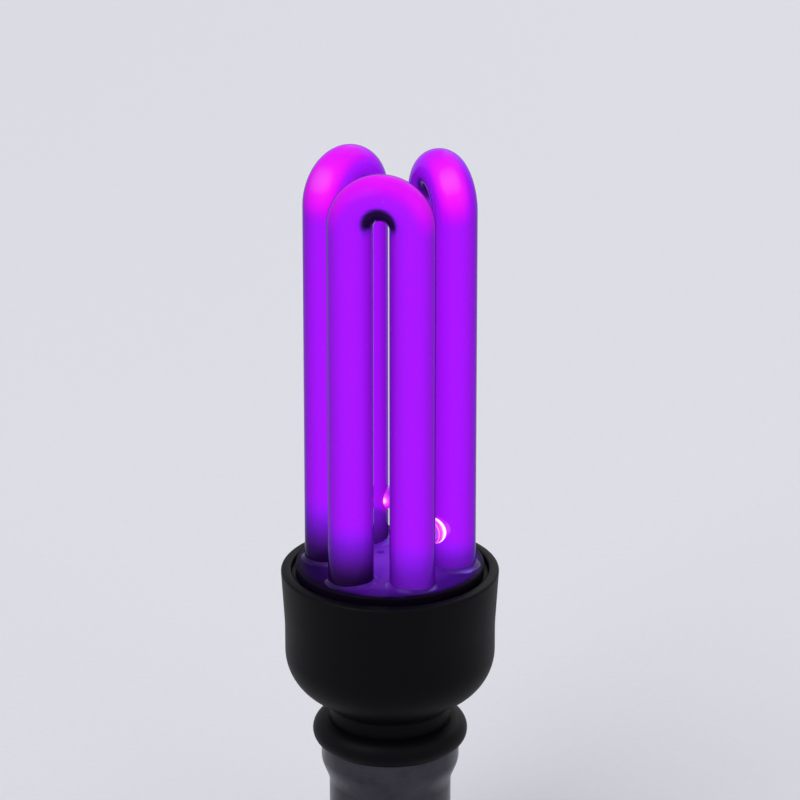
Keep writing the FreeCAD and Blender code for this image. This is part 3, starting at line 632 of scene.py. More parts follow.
@dataclass(frozen=True)
class Moulded(Finish):
    """Moulded plastic, pressed glass or dipped resin with a fine grain and cloudy patches.

    Attributes:
        colour: Main colour.
        shade: Colour of its patches.
        rough: Lowest and highest roughness.
        grain: Width of the grain, in metres.
        depth: Depth of the grain, in metres.
        coat: Weight of a clear coat over its patches.
        gloss: Specular level of the material itself.
        patch: Width of the patches, in metres.
    """

    colour: Colour = srgb(10, 10, 12)
    shade: Colour = srgb(7, 7, 9)
    rough: tuple[float, float] = (0.40, 0.56)
    grain: float = 0.35 * MM
    depth: float = 0.02 * MM
    coat: float = 0.0
    gloss: float = 0.5
    patch: float = 9.0 * MM

    def paint(self, graph: Graph) -> None:
        """Patches vary the colour and gloss, and the grain bends the normal.

        Args:
            graph: Graph of the material.
        """
        patch, grain = graph.noise(self.patch), graph.noise(self.grain, Lay.EVEN, 2.0)
        low, high = self.rough
        graph.shade(Base_Color=graph.mix(patch * 0.6 + grain * 0.4, self.colour, self.shade),
                    Roughness=low + (high - low) * (0.5 * patch + 0.5 * grain),
                    Normal=graph.bump(grain, self.depth, 0.6), Specular_IOR_Level=self.gloss,
                    Coat_Weight=self.coat * patch.eased(0.45, 0.6) if self.coat else 0.0,
                    Coat_Roughness=0.08)


@dataclass(frozen=True)
class LitPlastic(Finish):
    """Plastic painted with the tubes' violet light: painted light between the tubes, painted shade towards
    its rim.

    Attributes:
        reach: Radius of the plate, where its painted shade is darkest, in metres.
        light: Painted light and shade of the tubes, from the axis to the reach.
        uneven: How much a noise shifts those colours, as a share of the reach.
        painted_shade: Colour of the painted shade beside the two dark tube ends, towards -X.
        painted_shade_share: How much of that painted shade is mixed in where it is darkest.
        painted_shade_from: Where that side's painted shade starts, along X.
        painted_shade_to: Where it is darkest.
        patch: Width of a patch, in metres.
        grain: Width of the grain, in metres.
        depth: Depth of the grain, in metres.
    """

    reach: float = 19.9 * MM
    light: Stops = (
        (0.0, srgb(186, 88, 255)), (0.35, srgb(186, 88, 255)), (0.8, srgb(90, 28, 160)),
        (0.93, srgb(70, 20, 128)), (0.985, srgb(14, 4, 26)), (1.0, srgb(10, 3, 18)))
    uneven: float = 0.06
    painted_shade: Colour = srgb(14, 4, 27)
    painted_shade_share: float = 0.75
    painted_shade_from: float = -2.0 * MM
    painted_shade_to: float = -13.0 * MM
    patch: float = 6.0 * MM
    grain: float = 0.5 * MM
    depth: float = 0.02 * MM

    def lit(self, graph: Graph, patch: Value) -> Value:
        """The painted light of the tubes: picked by the distance from the axis, with painted shade towards
        -X.

        Args:
            graph: Graph of the material.
            patch: Noise that makes the painted light a little uneven.

        Returns:
            The colour.
        """
        flat = graph.node("VectorMath", {"operation": "MULTIPLY"}, {0: graph.place(), 1: (1.0, 1.0, 0.0)})
        away = graph.node("VectorMath", {"operation": "LENGTH"}, {0: flat}, "Value") / self.reach
        # Painted light by distance from the axis, with painted shade at the rim and on the wall.
        bright = graph.ramp(away + self.uneven * (patch - 0.5), self.light)
        # Painted shade beside the two dark tube ends, towards -X.
        painted_shade = (self.painted_shade_from - graph.along(0)).eased(0.0, self.painted_shade_from - self.painted_shade_to)
        return graph.mix(self.painted_shade_share * painted_shade, bright, self.painted_shade)

    def paint(self, graph: Graph) -> None:
        """Patches and a fine grain vary the gloss, and the grain bends the normal.

        Args:
            graph: Graph of the material.
        """
        patch, grain = graph.noise(self.patch), graph.noise(self.grain)
        # The base colour is painted light and shade, not the plastic's own colour.
        graph.shade(Base_Color=self.lit(graph, patch), Roughness=0.46 + 0.1 * patch + 0.06 * grain,
                    Normal=graph.bump(grain, self.depth, 0.6), Specular_IOR_Level=0.04)


@dataclass(frozen=True)
class Sealant(LitPlastic):
    """Glossy sealant laid by hand in the plate's painted light, with a painted highlight on its stored
    smears.

    Attributes:
        pale: Colour of the painted highlight on a smear.
        wave_gap: Width of a wave, in metres.
        wave_depth: Depth of a wave, in metres.
    """

    pale: Colour = srgb(143, 106, 243)
    wave_gap: float = 1.6 * MM
    wave_depth: float = 0.06 * MM

    def paint(self, graph: Graph) -> None:
        """Slow waves vary the painted light and the gloss and bend the normal; smears get a painted
        highlight.

        Args:
            graph: Graph of the material.
        """
        wave = graph.noise(self.wave_gap)
        # Base colour: the painted light of lit(), with the pale painted highlight mixed in along the smears.
        graph.shade(Base_Color=graph.mix(graph.stored("smear"), self.lit(graph, wave), self.pale),
                    Roughness=0.14 + 0.2 * wave, Normal=graph.bump(wave, self.wave_depth, 0.6),
                    Specular_IOR_Level=0.09)


@dataclass(frozen=True)
class WornMetal(Finish):
    """Sheet or cast metal with fine lines and patches of tarnish.

    Attributes:
        colour: Clean metal.
        tarnish: Dulled metal.
        rough: Lowest and highest roughness.
        lay: Which way its lines lie.
        depth: Depth of the lines, in metres.
        line: Width of a line, in metres.
        patch: Width of a patch of tarnish, in metres.
    """

    colour: Colour = srgb(70, 68, 76)
    tarnish: Colour = srgb(46, 45, 52)
    rough: tuple[float, float] = (0.24, 0.44)
    lay: Lay = Lay.ROUND
    depth: float = 0.012 * MM
    line: float = 0.35 * MM
    patch: float = 3.5 * MM

    def paint(self, graph: Graph) -> None:
        """Tarnish gathers in patches, which are also rougher, and the lines bend the normal.

        Args:
            graph: Graph of the material.
        """
        lines = graph.noise(self.line, self.lay)
        patch = graph.noise(self.patch, Lay.EVEN, 6.0).eased(0.35, 0.85)
        dull = 0.5 * lines + 0.5 * patch
        low, high = self.rough
        graph.shade(Base_Color=graph.mix(dull, self.colour, self.tarnish), Metallic=1.0,
                    Roughness=low + (high - low) * dull, Normal=graph.bump(lines, self.depth, 0.5))


@dataclass(frozen=True)
class Laminate(Finish):
    """Pressed board with a woven ground.

    Attributes:
        colour: Colour of the resin.
        thread: Colour of the weave.
        gap: Length of one wave of the weave, in metres.
        depth: Depth of the weave, in metres.
        patch: Width of a dull patch, in metres.
    """

    colour: Colour = srgb(176, 140, 84)
    thread: Colour = srgb(200, 168, 112)
    gap: float = 0.6 * MM
    depth: float = 0.02 * MM
    patch: float = 4.0 * MM

    def paint(self, graph: Graph) -> None:
        """Two crossed waves make the weave, and cloudy patches dull it.

        Args:
            graph: Graph of the material.
        """
        weave = 0.5 + 0.5 * (graph.ripple(0, self.gap) * graph.ripple(1, self.gap))
        patch = graph.noise(self.patch)
        graph.shade(Base_Color=graph.mix(0.6 * weave + 0.4 * patch, self.colour, self.thread),
                    Roughness=0.45 + 0.2 * patch, Normal=graph.bump(weave, self.depth, 0.5))


@dataclass(frozen=True)
class Wound(Finish):
    """Enamelled copper wire laid turn by turn.

    Attributes:
        wire: Width of one turn, in metres.
        groove: Colour between the turns.
        crest: Colour on top of a turn.
        depth: Depth of a groove, in metres.
        patch: Width of a patch in the enamel, in metres.
    """

    wire: float = 0.3 * MM
    groove: Colour = srgb(120, 52, 22)
    crest: Colour = srgb(196, 108, 58)
    depth: float = 0.08 * MM
    patch: float = 1.5 * MM

    def paint(self, graph: Graph) -> None:
        """A wave up the winding makes the turns, and a noise makes the enamel uneven.

        Args:
            graph: Graph of the material.
        """
        turns, patch = 0.5 + 0.5 * graph.ripple(2, self.wire), graph.noise(self.patch)
        graph.shade(Base_Color=graph.mix(0.5 * turns + 0.5 * patch, self.groove, self.crest), Metallic=0.8,
                    Roughness=0.25 + 0.2 * patch, Normal=graph.bump(turns, self.depth))


@dataclass(frozen=True)
class FloorPaper(Finish):
    """Pale paper, a little brighter where it is looked at, which adds no light to the lamp.

    Attributes:
        colour: Colour of the paper.
        grain: Colour of its grain.
        grain_gap: Width of the grain, in metres.
        unseen: Light of the paper where it isn't looked at.
        lift: Even light that is seen in it.
    """

    colour: Colour = srgb(226, 226, 231)
    grain: Colour = srgb(221, 221, 227)
    grain_gap: float = 1.5 * MM
    unseen: Colour = srgb(0, 0, 0)
    lift: float = 0.16

    def paint(self, graph: Graph) -> None:
        """A faint grain in the paper, and an even light where it is looked at.

        Args:
            graph: Graph of the material.
        """
        grain = graph.noise(self.grain_gap)
        paper = graph.mix(grain, self.colour, self.grain)
        graph.shade(Base_Color=paper, Roughness=0.7 + 0.15 * grain, Emission_Strength=self.lift,
                    Emission_Color=graph.mix(graph.looked_at(), self.unseen, paper))


LEAD_WIRE = WornMetal("lead_wire", srgb(212, 210, 206), srgb(168, 162, 152), (0.2, 0.4), Lay.UPRIGHT)


def add_piece(made: bpy.types.Object, finish: Finish, slot: str, *nodes: str) -> None:
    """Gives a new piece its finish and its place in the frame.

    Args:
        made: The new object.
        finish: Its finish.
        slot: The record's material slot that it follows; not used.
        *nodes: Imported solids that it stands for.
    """
    made.data.materials.append(finish.material())
    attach(made, BODY)
    if nodes:
        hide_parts(*nodes)
    instead = ", ".join(nodes) or "nothing else"
    LOG.info("%s: %d faces, stands for %s", made.name, len(made.data.polygons), instead)


def dress(finish: Finish, *nodes: str) -> None:
    """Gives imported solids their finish, in their objects' own material slots.

    Args:
        finish: The finish.
        *nodes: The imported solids.
    """
    for node in nodes:
        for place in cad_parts[node].material_slots:
            place.material = finish.material()
        LOG.info("%s: packed solid, %s", node, finish.name)


@dataclass(frozen=True)
class Sweep:
    """A ring carried along one U.

    Attributes:
        rows: Points, row by turn by 3.
        way: Way along the tube from the start of the bend, below 0 on the left leg.
        across: Place of the ring's middle across the U, below 0 on its left side.
        outer: Cosine of the angle round the tube from the bend's outer line.
        away: Sine of that angle, positive away from the lamp's axis.
        end: Length of the bend.
        spare: Stretch of each leg that counts as bend for the light.
    """

    rows: np.ndarray
    way: np.ndarray
    across: np.ndarray
    outer: np.ndarray
    away: np.ndarray
    end: float
    spare: float = 2.0 * MM

    def turn(self) -> np.ndarray:
        """The angle along the bend, from 0 on one leg to pi on the other, with the spare stretch taken in."""
        return np.clip((self.way + self.spare) / (self.end + 2.0 * self.spare), 0.0, 1.0) * math.pi

    def thin(self) -> np.ndarray:
        """How thin the glass is drawn: sin^2 of the angle along the bend, eased in on its outer side."""
        none, full = -0.3, 0.7
        return np.sin(self.turn()) ** 2 * smooth(self.outer, none, full)


@dataclass(frozen=True)
class Fade:
    """How the light of one leg falls off towards the plate.

    Attributes:
        floor: Share of the light left at the plate.
        low: Height above the plate where it starts to rise.
        high: Height where it is full.
        cut: Height of a step, or 0.
        cut_share: Share of the light below the step.
        soft: Half height of the step.
    """

    floor: float
    low: float
    high: float
    cut: float = 0.0
    cut_share: float = 1.0
    soft: float = MM

    def at(self, height: np.ndarray) -> np.ndarray:
        """The share of full light at heights above the plate.

        Args:
            height: The heights.

        Returns:
            The share at each of them.
        """
        share = self.floor + (1.0 - self.floor) * smooth(height, self.low, self.high)
        below = 1.0 - smooth(height, self.cut - self.soft, self.cut + self.soft)
        return share * (1.0 - (1.0 - self.cut_share) * below * (self.cut > 0))


@dataclass(frozen=True)
class Bend:
    """How the light of one U changes along its bend.

    Attributes:
        left: How pink the outer side glows over the left leg.
        crest: How pink it glows at the top.
        right: How pink it glows over the right leg.
        dark: What the inner side loses of its light.
        lean: Angle of the pink's middle line from the bend's outer line, positive away from the lamp's axis.
        start: Cosine of the angle from the middle line at which the pink starts.
        place: Way along the bend from a leg's top to the middle of a shoulder's pink.
        spread: Half length of a shoulder's pink.
        dark_line: Minus the cosine round the tube at which the dark starts, at the bend's ends.
        dark_gain: What dark_line loses at the bend's top.
        dark_edge: Half width of the dark's soft edge, in that cosine.
        dark_ease: Sine of the angle along the bend at which the dark is full.
    """

    left: float
    crest: float
    right: float
    dark: float
    lean: float = 0.0
    start: float = 0.0
    place: float = 3.8 * MM
    spread: float = 3.8 * MM
    dark_line: float = 0.70
    dark_gain: float = 0.50
    dark_edge: float = 0.1
    dark_ease: float = 0.6

    def shadow(self, sweep: Sweep) -> np.ndarray:
        """What each point of the inner side loses of its light.

        The dark starts where the cosine round the tube is below gain sin^2 t - line, with t the angle along
        the bend.

        Args:
            sweep: The coating of the U.

        Returns:
            The lost share at each point.
        """
        rise = np.sin(sweep.turn())
        depth = -sweep.outer - self.dark_line + self.dark_gain * rise ** 2
        dark = smooth(depth, -self.dark_edge, self.dark_edge) * smooth(rise, 0.0, self.dark_ease)
        return self.dark * dark

    def pink(self, sweep: Sweep) -> np.ndarray:
        """How pink the outer side glows, most on the bend's shoulders.

        Each shoulder's part s is a bell along the tube. With t the angle along the bend and c the crest's
        amount, the bend's part is 1 - (1 - s)(1 - c sin^4 t), eased in round the tube by the cosine of the
        angle from the pink's middle line.

        Args:
            sweep: The coating of the U.

        Returns:
            The share of pink at each point.
        """
        shoulders = (self.left * hump(sweep.way, self.place, self.spread)
                     + self.right * hump(sweep.end - sweep.way, self.place, self.spread))
        crest = self.crest * np.sin(sweep.turn()) ** 4
        pink = 1.0 - (1.0 - np.minimum(shoulders, 1.0)) * (1.0 - crest)
        near = sweep.outer * math.cos(self.lean) + sweep.away * math.sin(self.lean)
        return pink * smooth(near, self.start, 1.0)


@dataclass(frozen=True)
class Seam:
    """The fused seam of a bridge.

    Attributes:
        way: Its place, from the first leg's wall.
        rise: What the bridge's radius gains there.
        width: Half width of its light.
        light: Its light over the bridge's own.
        line: Light of the thin line beside it, on the first leg's side.
        tall: Half height of its light.
        rise_width: Half width of the rise.
        core: Share of its light in the narrow bell.
        wider: How many times as wide the weak bell is.
        line_gap: Way from the seam back to the thin line.
        line_width: Half width of that line.
    """

    way: float
    rise: float
    width: float
    light: float
    line: float
    tall: float
    rise_width: float = 0.6 * MM
    core: float = 0.75
    wider: float = 3.0
    line_gap: float = 1.1 * MM
    line_width: float = 0.13 * MM

    def glow(self, near: np.ndarray, over: np.ndarray) -> np.ndarray:
        """Its light: a bell at the seam, a wider and weaker one round it, and a thin line beside them.

        Args:
            near: Way from the first leg's wall.
            over: Height over the bridge's axis.

        Returns:
            The light at each point.
        """
        strong, weak = hump(near, self.way, self.width), hump(near, self.way, self.wider * self.width)
        light = self.light * (self.core * strong + (1.0 - self.core) * weak)
        line = self.line * hump(near, self.way - self.line_gap, self.line_width)
        return (light + line) * hump(over, 0.0, self.tall)


@dataclass
class TubeSet:
    """Three glass U's, their two bridges and the lit coating inside them.

    Attributes:
        radius: Outside of the glass.
        core: Outside of the lit coating, as wide as the round glass makes it look.
        ring: Circle of the legs round the axis.
        half_angle: Angle between a U's middle and its leg, seen from the axis.
        sink: Straight legs below the plate.
        bridge: Narrowest radius of a bridge.
        flare: What a bridge's radius gains at its ends.
        flare_way: Way along the bridge in which the flare falls to about a third.
        bridge_light: A bridge's own light.
        sunk: How deep a bridge's ends stand in the legs' walls.
        rise: Bridges above the plate.
        halo_ring: Radius of the pink ring that a weld throws on its leg.
        halo_width: Half width of that ring.
        halo_depth: How far from the leg's axis the ring is drawn.
        plate: Height of the plate's face.
        half_gap: Half the distance between a U's legs.
        out: Distance of a U's plane from the axis.
        arch: Height where the bends start.
    """

    radius: float = 4.8 * MM
    core: float = 4.65 * MM
    ring: float = 13.4 * MM
    half_angle: float = math.radians(29.02)
    sink: float = 4.6 * MM
    bridge: float = 2.4 * MM
    flare: float = 0.1 * MM
    flare_way: float = 0.5 * MM
    bridge_light: float = 0.25
    sunk: float = 0.03 * MM
    rise: float = 9.8 * MM
    halo_ring: float = 1.4 * MM
    halo_width: float = 1.5 * MM
    halo_depth: float = 5.76 * MM
    plate: float = field(init=False)
    half_gap: float = field(init=False)
    out: float = field(init=False)
    arch: float = field(init=False)

    DOME_ROWS: ClassVar[int] = 9
    LEG_ROWS: ClassVar[int] = 110
    BEND_ROWS: ClassVar[int] = 73
    BRIDGE_ROWS: ClassVar[int] = 61
    GLASS_AROUND: ClassVar[int] = 56
    CORE_AROUND: ClassVar[int] = 48
    BRIDGE_AROUND: ClassVar[int] = 64
    FADES: ClassVar[dict[tuple[int, Side], Fade]] = {
        (0, Side.LEFT): Fade(0.0, 1.0 * MM, 15.5 * MM),
        (0, Side.RIGHT): Fade(0.38, 0.0, 12.0 * MM),
        (1, Side.LEFT): Fade(0.35, 0.0, 8.0 * MM),
        (1, Side.RIGHT): Fade(0.3, 0.0, 10.0 * MM),
        (2, Side.LEFT): Fade(0.2, 0.0, 9.0 * MM, 8.7 * MM, 0.62),
        (2, Side.RIGHT): Fade(0.0, 1.0 * MM, 15.5 * MM),
    }
    BENDS: ClassVar[tuple[Bend, ...]] = (
        Bend(0.52, 0.6, 0.6, 0.99),
        Bend(1.0, 0.2, 0.0, 0.8, -0.35, 0.5, 4.9 * MM, 4.8 * MM),
        Bend(0.0, 0.5, 1.0, 0.8, -0.15, 0.3, 4.0 * MM, 4.5 * MM),
    )
    WELDS: ClassVar[dict[tuple[int, Side], float]] = {
        (0, Side.RIGHT): 0.35, (1, Side.LEFT): 0.3, (1, Side.RIGHT): 0.35, (2, Side.LEFT): 0.8,
    }
    SEAMS: ClassVar[tuple[Seam, ...]] = (
        Seam(2.5 * MM, 0.42 * MM, 0.46 * MM, 0.8, 0.45, 9.0 * MM),
        Seam(4.1 * MM, 0.0, 0.8 * MM, 0.6, 0.0, 1.3 * MM),
    )

    def __post_init__(self) -> None:
        """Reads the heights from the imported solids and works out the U's own sizes."""
        self.plate = heights("tube_plate")[1]
        self.half_gap = self.ring * math.sin(self.half_angle)
        self.out = self.ring * math.cos(self.half_angle)
        self.arch = heights("discharge_tube")[1] - self.radius - self.half_gap

    @staticmethod
    def facing(number: int) -> float:
        """The direction of a U from the axis: 0 stands in front, 1 on the right, 2 on the left."""
        return math.radians(-90.0 + 120.0 * number)

    def leg(self, number: int, side: Side) -> np.ndarray:
        """The place of a leg's axis on the plate, x and y."""
        angle = self.facing(number) + side.value * self.half_angle
        return self.ring * np.array([math.cos(angle), math.sin(angle)])

    def swept(self, number: int, radius: float, around: int) -> Sweep:
        """Sweeps a ring along one U, with a round dome at each foot.

        A point is centre + r (cos p N + sin p B). N points away from the bend's middle in the U's plane, B
        away from the lamp's axis, and p runs round the tube. In a dome r shrinks as a quarter circle to a
        pole.

        Args:
            number: Which U.
            radius: Radius of the ring.
            around: Points round the tube.

        Returns:
            The ring's sweep.
        """
        foot, gap = self.plate - self.sink, self.half_gap
        dome = np.linspace(0.0, math.pi / 2, self.DOME_ROWS)[:-1]
        rise = np.linspace(foot, self.arch, self.LEG_ROWS)[:-1]
        bend = np.linspace(0.0, math.pi, self.BEND_ROWS)
        up = np.concatenate([foot - radius * np.cos(dome), rise])
        wide = np.concatenate([radius * np.sin(dome), np.full(len(rise), radius)])
        still, level = np.ones(len(up)), np.zeros(len(up))
        centre = np.concatenate([-gap * still, -gap * np.cos(bend), gap * still])[:, None]
        height = np.concatenate([up, self.arch + gap * np.sin(bend), up[::-1]])[:, None]
        size = np.concatenate([wide, np.full(len(bend), radius), wide[::-1]])[:, None]
        normal_x = np.concatenate([-still, -np.cos(bend), still])[:, None]
        normal_z = np.concatenate([level, np.sin(bend), level])[:, None]
        before = gap * bend
        way = np.concatenate([up - self.arch, before, before[-1] + self.arch - up[::-1]])[:, None]
        outer, away = np.cos(circle(around))[None, :], np.sin(circle(around))[None, :]
        along, out = centre + size * outer * normal_x, self.out + size * away
        ahead, aside = math.cos(self.facing(number)), math.sin(self.facing(number))
        rows = np.stack([out * ahead - along * aside, out * aside + along * ahead,
                         height + size * outer * normal_z], -1)
        full = np.ones_like(along)
        return Sweep(rows, way * full, centre * full, outer * full, away * full, math.pi * gap)

    def glow(self, number: int, sweep: Sweep) -> np.ndarray:
        """The light of a U: full above, dark on the inner side of the bend, and fading near the plate.

        Args:
            number: Which U.
            sweep: Its glass or coating.

        Returns:
            The light at each point, from 0 to 1.
        """
        height = sweep.rows[..., 2] - self.plate
        left, right = (self.FADES[number, side].at(height) for side in Side)
        return np.where(sweep.across < 0, left, right) * (1.0 - self.BENDS[number].shadow(sweep))

    def blush(self, number: int, sweep: Sweep) -> np.ndarray:
        """How pink a U's coating glows: on the outer side of its bend, and round its welds.

        Args:
            number: Which U.
            sweep: Its coating.

        Returns:
            The blush at each point, from 0 to 1.
        """
        blush = self.BENDS[number].pink(sweep)
        for side in Side:
            amount = self.WELDS.get((number, side), 0.0)
            blush = np.maximum(blush, amount * self.halo(number, side, sweep.rows))
        return blush

    def halo(self, number: int, side: Side, rows: np.ndarray) -> np.ndarray:
        """A bell round the circle on one leg that faces the next U, where a weld would stand.

        Args:
            number: Which U.
            side: Which leg.
            rows: Points of the coating.

        Returns:
            The bell at each point, from 0 to 1.
        """
        spot = self.leg(number, side)
        other = self.leg((number + side.value) % 3, Side(-side.value))
        aim = (other - spot) / np.linalg.norm(other - spot)
        near = rows[..., :2] - spot
        ahead = near @ aim
        reach = np.hypot(near @ np.array([-aim[1], aim[0]]), rows[..., 2] - self.plate - self.rise)
        return hump(reach, self.halo_ring, self.halo_width) * (ahead > 0) * (ahead < self.halo_depth)

    def neck(self, first: np.ndarray, second: np.ndarray, seam: Seam) -> tuple[np.ndarray, np.ndarray]:
        """One bridge between two legs, seated on their round walls and bright at its fused seam.

        At turn p the wall stands sqrt(R^2 - a^2) from a leg's axis, with a = r cos p across the bridge. The
        radius is the narrowest one, plus the flare times exp(-h / flare_way) for the way h from each leg, or
        a bell at the seam where that is wider.

        Args:
            first: Axis of the first leg, x and y.
            second: Axis of the second leg.
            seam: Its fused seam.

        Returns:
            The points as rows, and the light at each of them.
        """
        gap = np.linalg.norm(second - first)
        aim = (second - first) / gap
        side = np.array([-aim[1], aim[0]])
        free = gap - 2.0 * self.radius
        share = 0.5 - 0.5 * np.cos(np.linspace(0.0, math.pi, self.BRIDGE_ROWS))
        near, far = share * free, (1.0 - share) * free
        radius = self.bridge + self.flare * (np.exp(-near / self.flare_way) + np.exp(-far / self.flare_way))
        radius = np.maximum(radius, self.bridge + seam.rise * hump(near, seam.way, seam.rise_width))
        radius = np.concatenate([[0.0], radius, [0.0]])[:, None]
        near, share = np.pad(near, 1, "edge")[:, None], np.pad(share, 1, "edge")[:, None]
        turn = circle(self.BRIDGE_AROUND)[None, :]
        across, over = radius * np.cos(turn), radius * np.sin(turn)
        seat = np.sqrt(self.radius ** 2 - across ** 2) - self.sunk
        ahead = seat + (gap - 2.0 * seat) * share
        flat = first + ahead[..., None] * aim + across[..., None] * side
        rows = np.concatenate([flat, (self.plate + self.rise + over)[..., None]], -1)
        return rows, np.clip(self.bridge_light + seam.glow(near, over), 0.0, 1.0)

    def build(self) -> None:
        """Builds the glass, the coating and the bridges, and dresses what stands inside them."""
        glass, coating, necks = Skin(), Skin(), Skin()
        for number in range(3):
            outer = self.swept(number, self.radius, self.GLASS_AROUND)
            glass.add(outer.rows, glow=self.glow(number, outer), thin=outer.thin())
            inner = self.swept(number, self.core, self.CORE_AROUND)
            coating.add(inner.rows, glow=self.glow(number, inner), blush=self.blush(number, inner))
        for number, seam in enumerate(self.SEAMS):
            rows, glow = self.neck(self.leg(number, Side.RIGHT), self.leg(number + 1, Side.LEFT), seam)
            necks.add(rows, glow=glow)
        add_piece(glass.make("glass_sleeve"), FilterGlass("filter_glass"), "tube_glass", "discharge_tube")
        add_piece(coating.make("lit_coating"), LitCoating("lit_coating"), "tube_glass")
        add_piece(necks.make("glass_bridges"), FusedGlass("fused_glass"), "tube_glass")
        coil = WornMetal("coil_oxide", srgb(230, 228, 220), srgb(196, 192, 180), (0.5, 0.7))
        clear = Moulded("bead_glass", srgb(205, 214, 208), srgb(182, 196, 190), (0.03, 0.08), MM, 0.03 * MM)
        for tag in ("front", "left"):
            dress(coil, f"{tag}_filament")
            dress(clear, f"{tag}_mount_bead")
            dress(LEAD_WIRE, f"{tag}_lead_a", f"{tag}_lead_b")


@dataclass(frozen=True)
class Smear:
    """A thick smear of sealant on a bead, which also carries a painted highlight.

    Attributes:
        angle: Its place round the leg, in degrees.
        width: Half its length, in degrees.
        amount: How thick it is, and how strong its painted highlight, from 0 to 1.
    """

    angle: float
    width: float
    amount: float

    def at(self, turn: np.ndarray) -> np.ndarray:
        """Its thickness at angles round the leg: a bell at its own angle."""
        off = (turn - math.radians(self.angle) + math.pi) % (2.0 * math.pi) - math.pi
        return self.amount * hump(off, 0.0, math.radians(self.width))


@dataclass(frozen=True)
class Wave:
    """A slow wave round a bead.

    Attributes:
        amount: Its height, as a share of the bead's size.
        count: How many waves go round the leg.
        shift: How many times the leg's own phase it is turned.
    """

    amount: float
    count: float
    shift: float

    def at(self, turn: np.ndarray, phase: float) -> np.ndarray:
        """Its height at angles round the leg: amount * sin(count t + shift * phase)."""
        return self.amount * np.sin(self.count * turn + self.shift * phase)


@dataclass
class PlateSet:
    """The pale plate and the uneven beads of sealant round the tube feet.

    Attributes:
        tubes: The tubes that stand in it.
        width: Width of a bead on the plate.
        height: Height of a bead on the glass.
        mean_width: Share of the width that a bead has without its waves.
        mean_height: Share of the height that it has without them.
        smear_width: Share of the width that a full smear has.
        smear_height: Share of the height that a full smear adds.
        smear_place: Share of the width where a smear's painted highlight is brightest.
        smear_spread: Half width of that painted highlight, as a share of the width.
        u_phase: What turns the waves from one U to the next.
        leg_phase: What turns them between a U's legs.
        start: Share of the width where the slope leaves the glass.
        hollow: Power of the slope's hollow curve.
        foot: Share of the height in the slope's round foot.
        back: Share of the height that the bead has inside the glass.
        tuck: How far a bead runs into the glass.
        sunk: How far it runs below the plate's face.
    """

    tubes: TubeSet
    width: float = 1.1 * MM
    height: float = 0.9 * MM
    mean_width: float = 0.80
    mean_height: float = 0.74
    smear_width: float = 1.15
    smear_height: float = 0.15
    smear_place: float = 0.6
    smear_spread: float = 0.3
    u_phase: float = 2.1
    leg_phase: float = 0.9
    start: float = 0.06
    hollow: float = 1.7
    foot: float = 0.08
    back: float = 0.9
    tuck: float = 0.3 * MM
    sunk: float = 0.25 * MM

    AROUND: ClassVar[int] = 96
    SLOPE_ROWS: ClassVar[int] = 13
    WIDE_WAVES: ClassVar[tuple[Wave, ...]] = (Wave(0.13, 2.0, 1.0), Wave(0.07, 5.0, 2.0))
    TALL_WAVES: ClassVar[tuple[Wave, ...]] = (Wave(0.18, 1.0, -2.0), Wave(0.08, 4.0, 1.0))
    # Smears thicken the beads, and each carries a painted highlight.
    SMEARS: ClassVar[dict[tuple[int, Side], tuple[Smear, ...]]] = {
        (0, Side.RIGHT): (Smear(195.0, 12.0, 0.5), Smear(335.0, 12.0, 0.5)),
        (1, Side.LEFT): (Smear(312.0, 22.0, 1.0),),
        (2, Side.RIGHT): (Smear(290.0, 14.0, 0.45),),
    }

    def bead(self, number: int, side: Side) -> tuple[np.ndarray, np.ndarray]:
        """One bead as a closed ring round a leg.

        Its section runs from the glass down a hollow curve to the plate, and back below the plate's face. At
        the share s of the slope it stands w (a + (1 - a) s) from the glass, h ((1 - f) (1 - s)^k + f sqrt(1 -
        s)) high, with a the start, f the foot and k the hollow. Slow waves round the leg make w and h uneven,
        and smears thicken them.

        Args:
            number: Which U.
            side: Which leg.

        Returns:
            The points as rows, section by turn, and the painted highlight along the smears at each of them.
        """
        turn = circle(self.AROUND)[None, :]
        phase = self.u_phase * number + self.leg_phase * side.value
        thick = np.zeros_like(turn)
        for smear in self.SMEARS.get((number, side), ()):
            thick = np.maximum(thick, smear.at(turn))
        wide = sum((wave.at(turn, phase) for wave in self.WIDE_WAVES), self.mean_width)
        wide = self.width * np.maximum(wide, self.smear_width * thick)
        tall = sum((wave.at(turn, phase) for wave in self.TALL_WAVES), self.mean_height)
        tall = self.height * (tall + self.smear_height * thick)
        share = np.linspace(0.0, 1.0, self.SLOPE_ROWS)[:, None]
        top = 1.0 - share
        slope = wide * (self.start + (1.0 - self.start) * share)
        fall = tall * ((1.0 - self.foot) * top ** self.hollow + self.foot * np.sqrt(top))
        tuck, sunk = np.full_like(wide, -self.tuck), np.full_like(tall, -self.sunk)
        reach = np.concatenate([slope, wide, tuck, tuck])
        rise = np.concatenate([fall, sunk, sunk, self.back * tall])
        rows = turned(self.tubes.radius + reach, self.tubes.plate + rise, turn)
        rows[..., :2] += self.tubes.leg(number, side)
        # The second value is a painted highlight: a pale line across each smear's slope.
        return rows, thick * hump(reach / wide, self.smear_place, self.smear_spread)

    def build(self) -> None:
        """Builds the beads and dresses the plate."""
        beads = Skin()
        for number in range(3):
            for side in Side:
                # smear holds the painted highlight that the sealant's material mixes in.
                rows, smear = self.bead(number, side)
                beads.add(rows, ring=True, smear=smear)
        add_piece(beads.make("sealant_beads", 60.0), Sealant("sealant"), "sealant", "foot_sealant")
        dress(LitPlastic("pale_plastic"), "tube_plate")


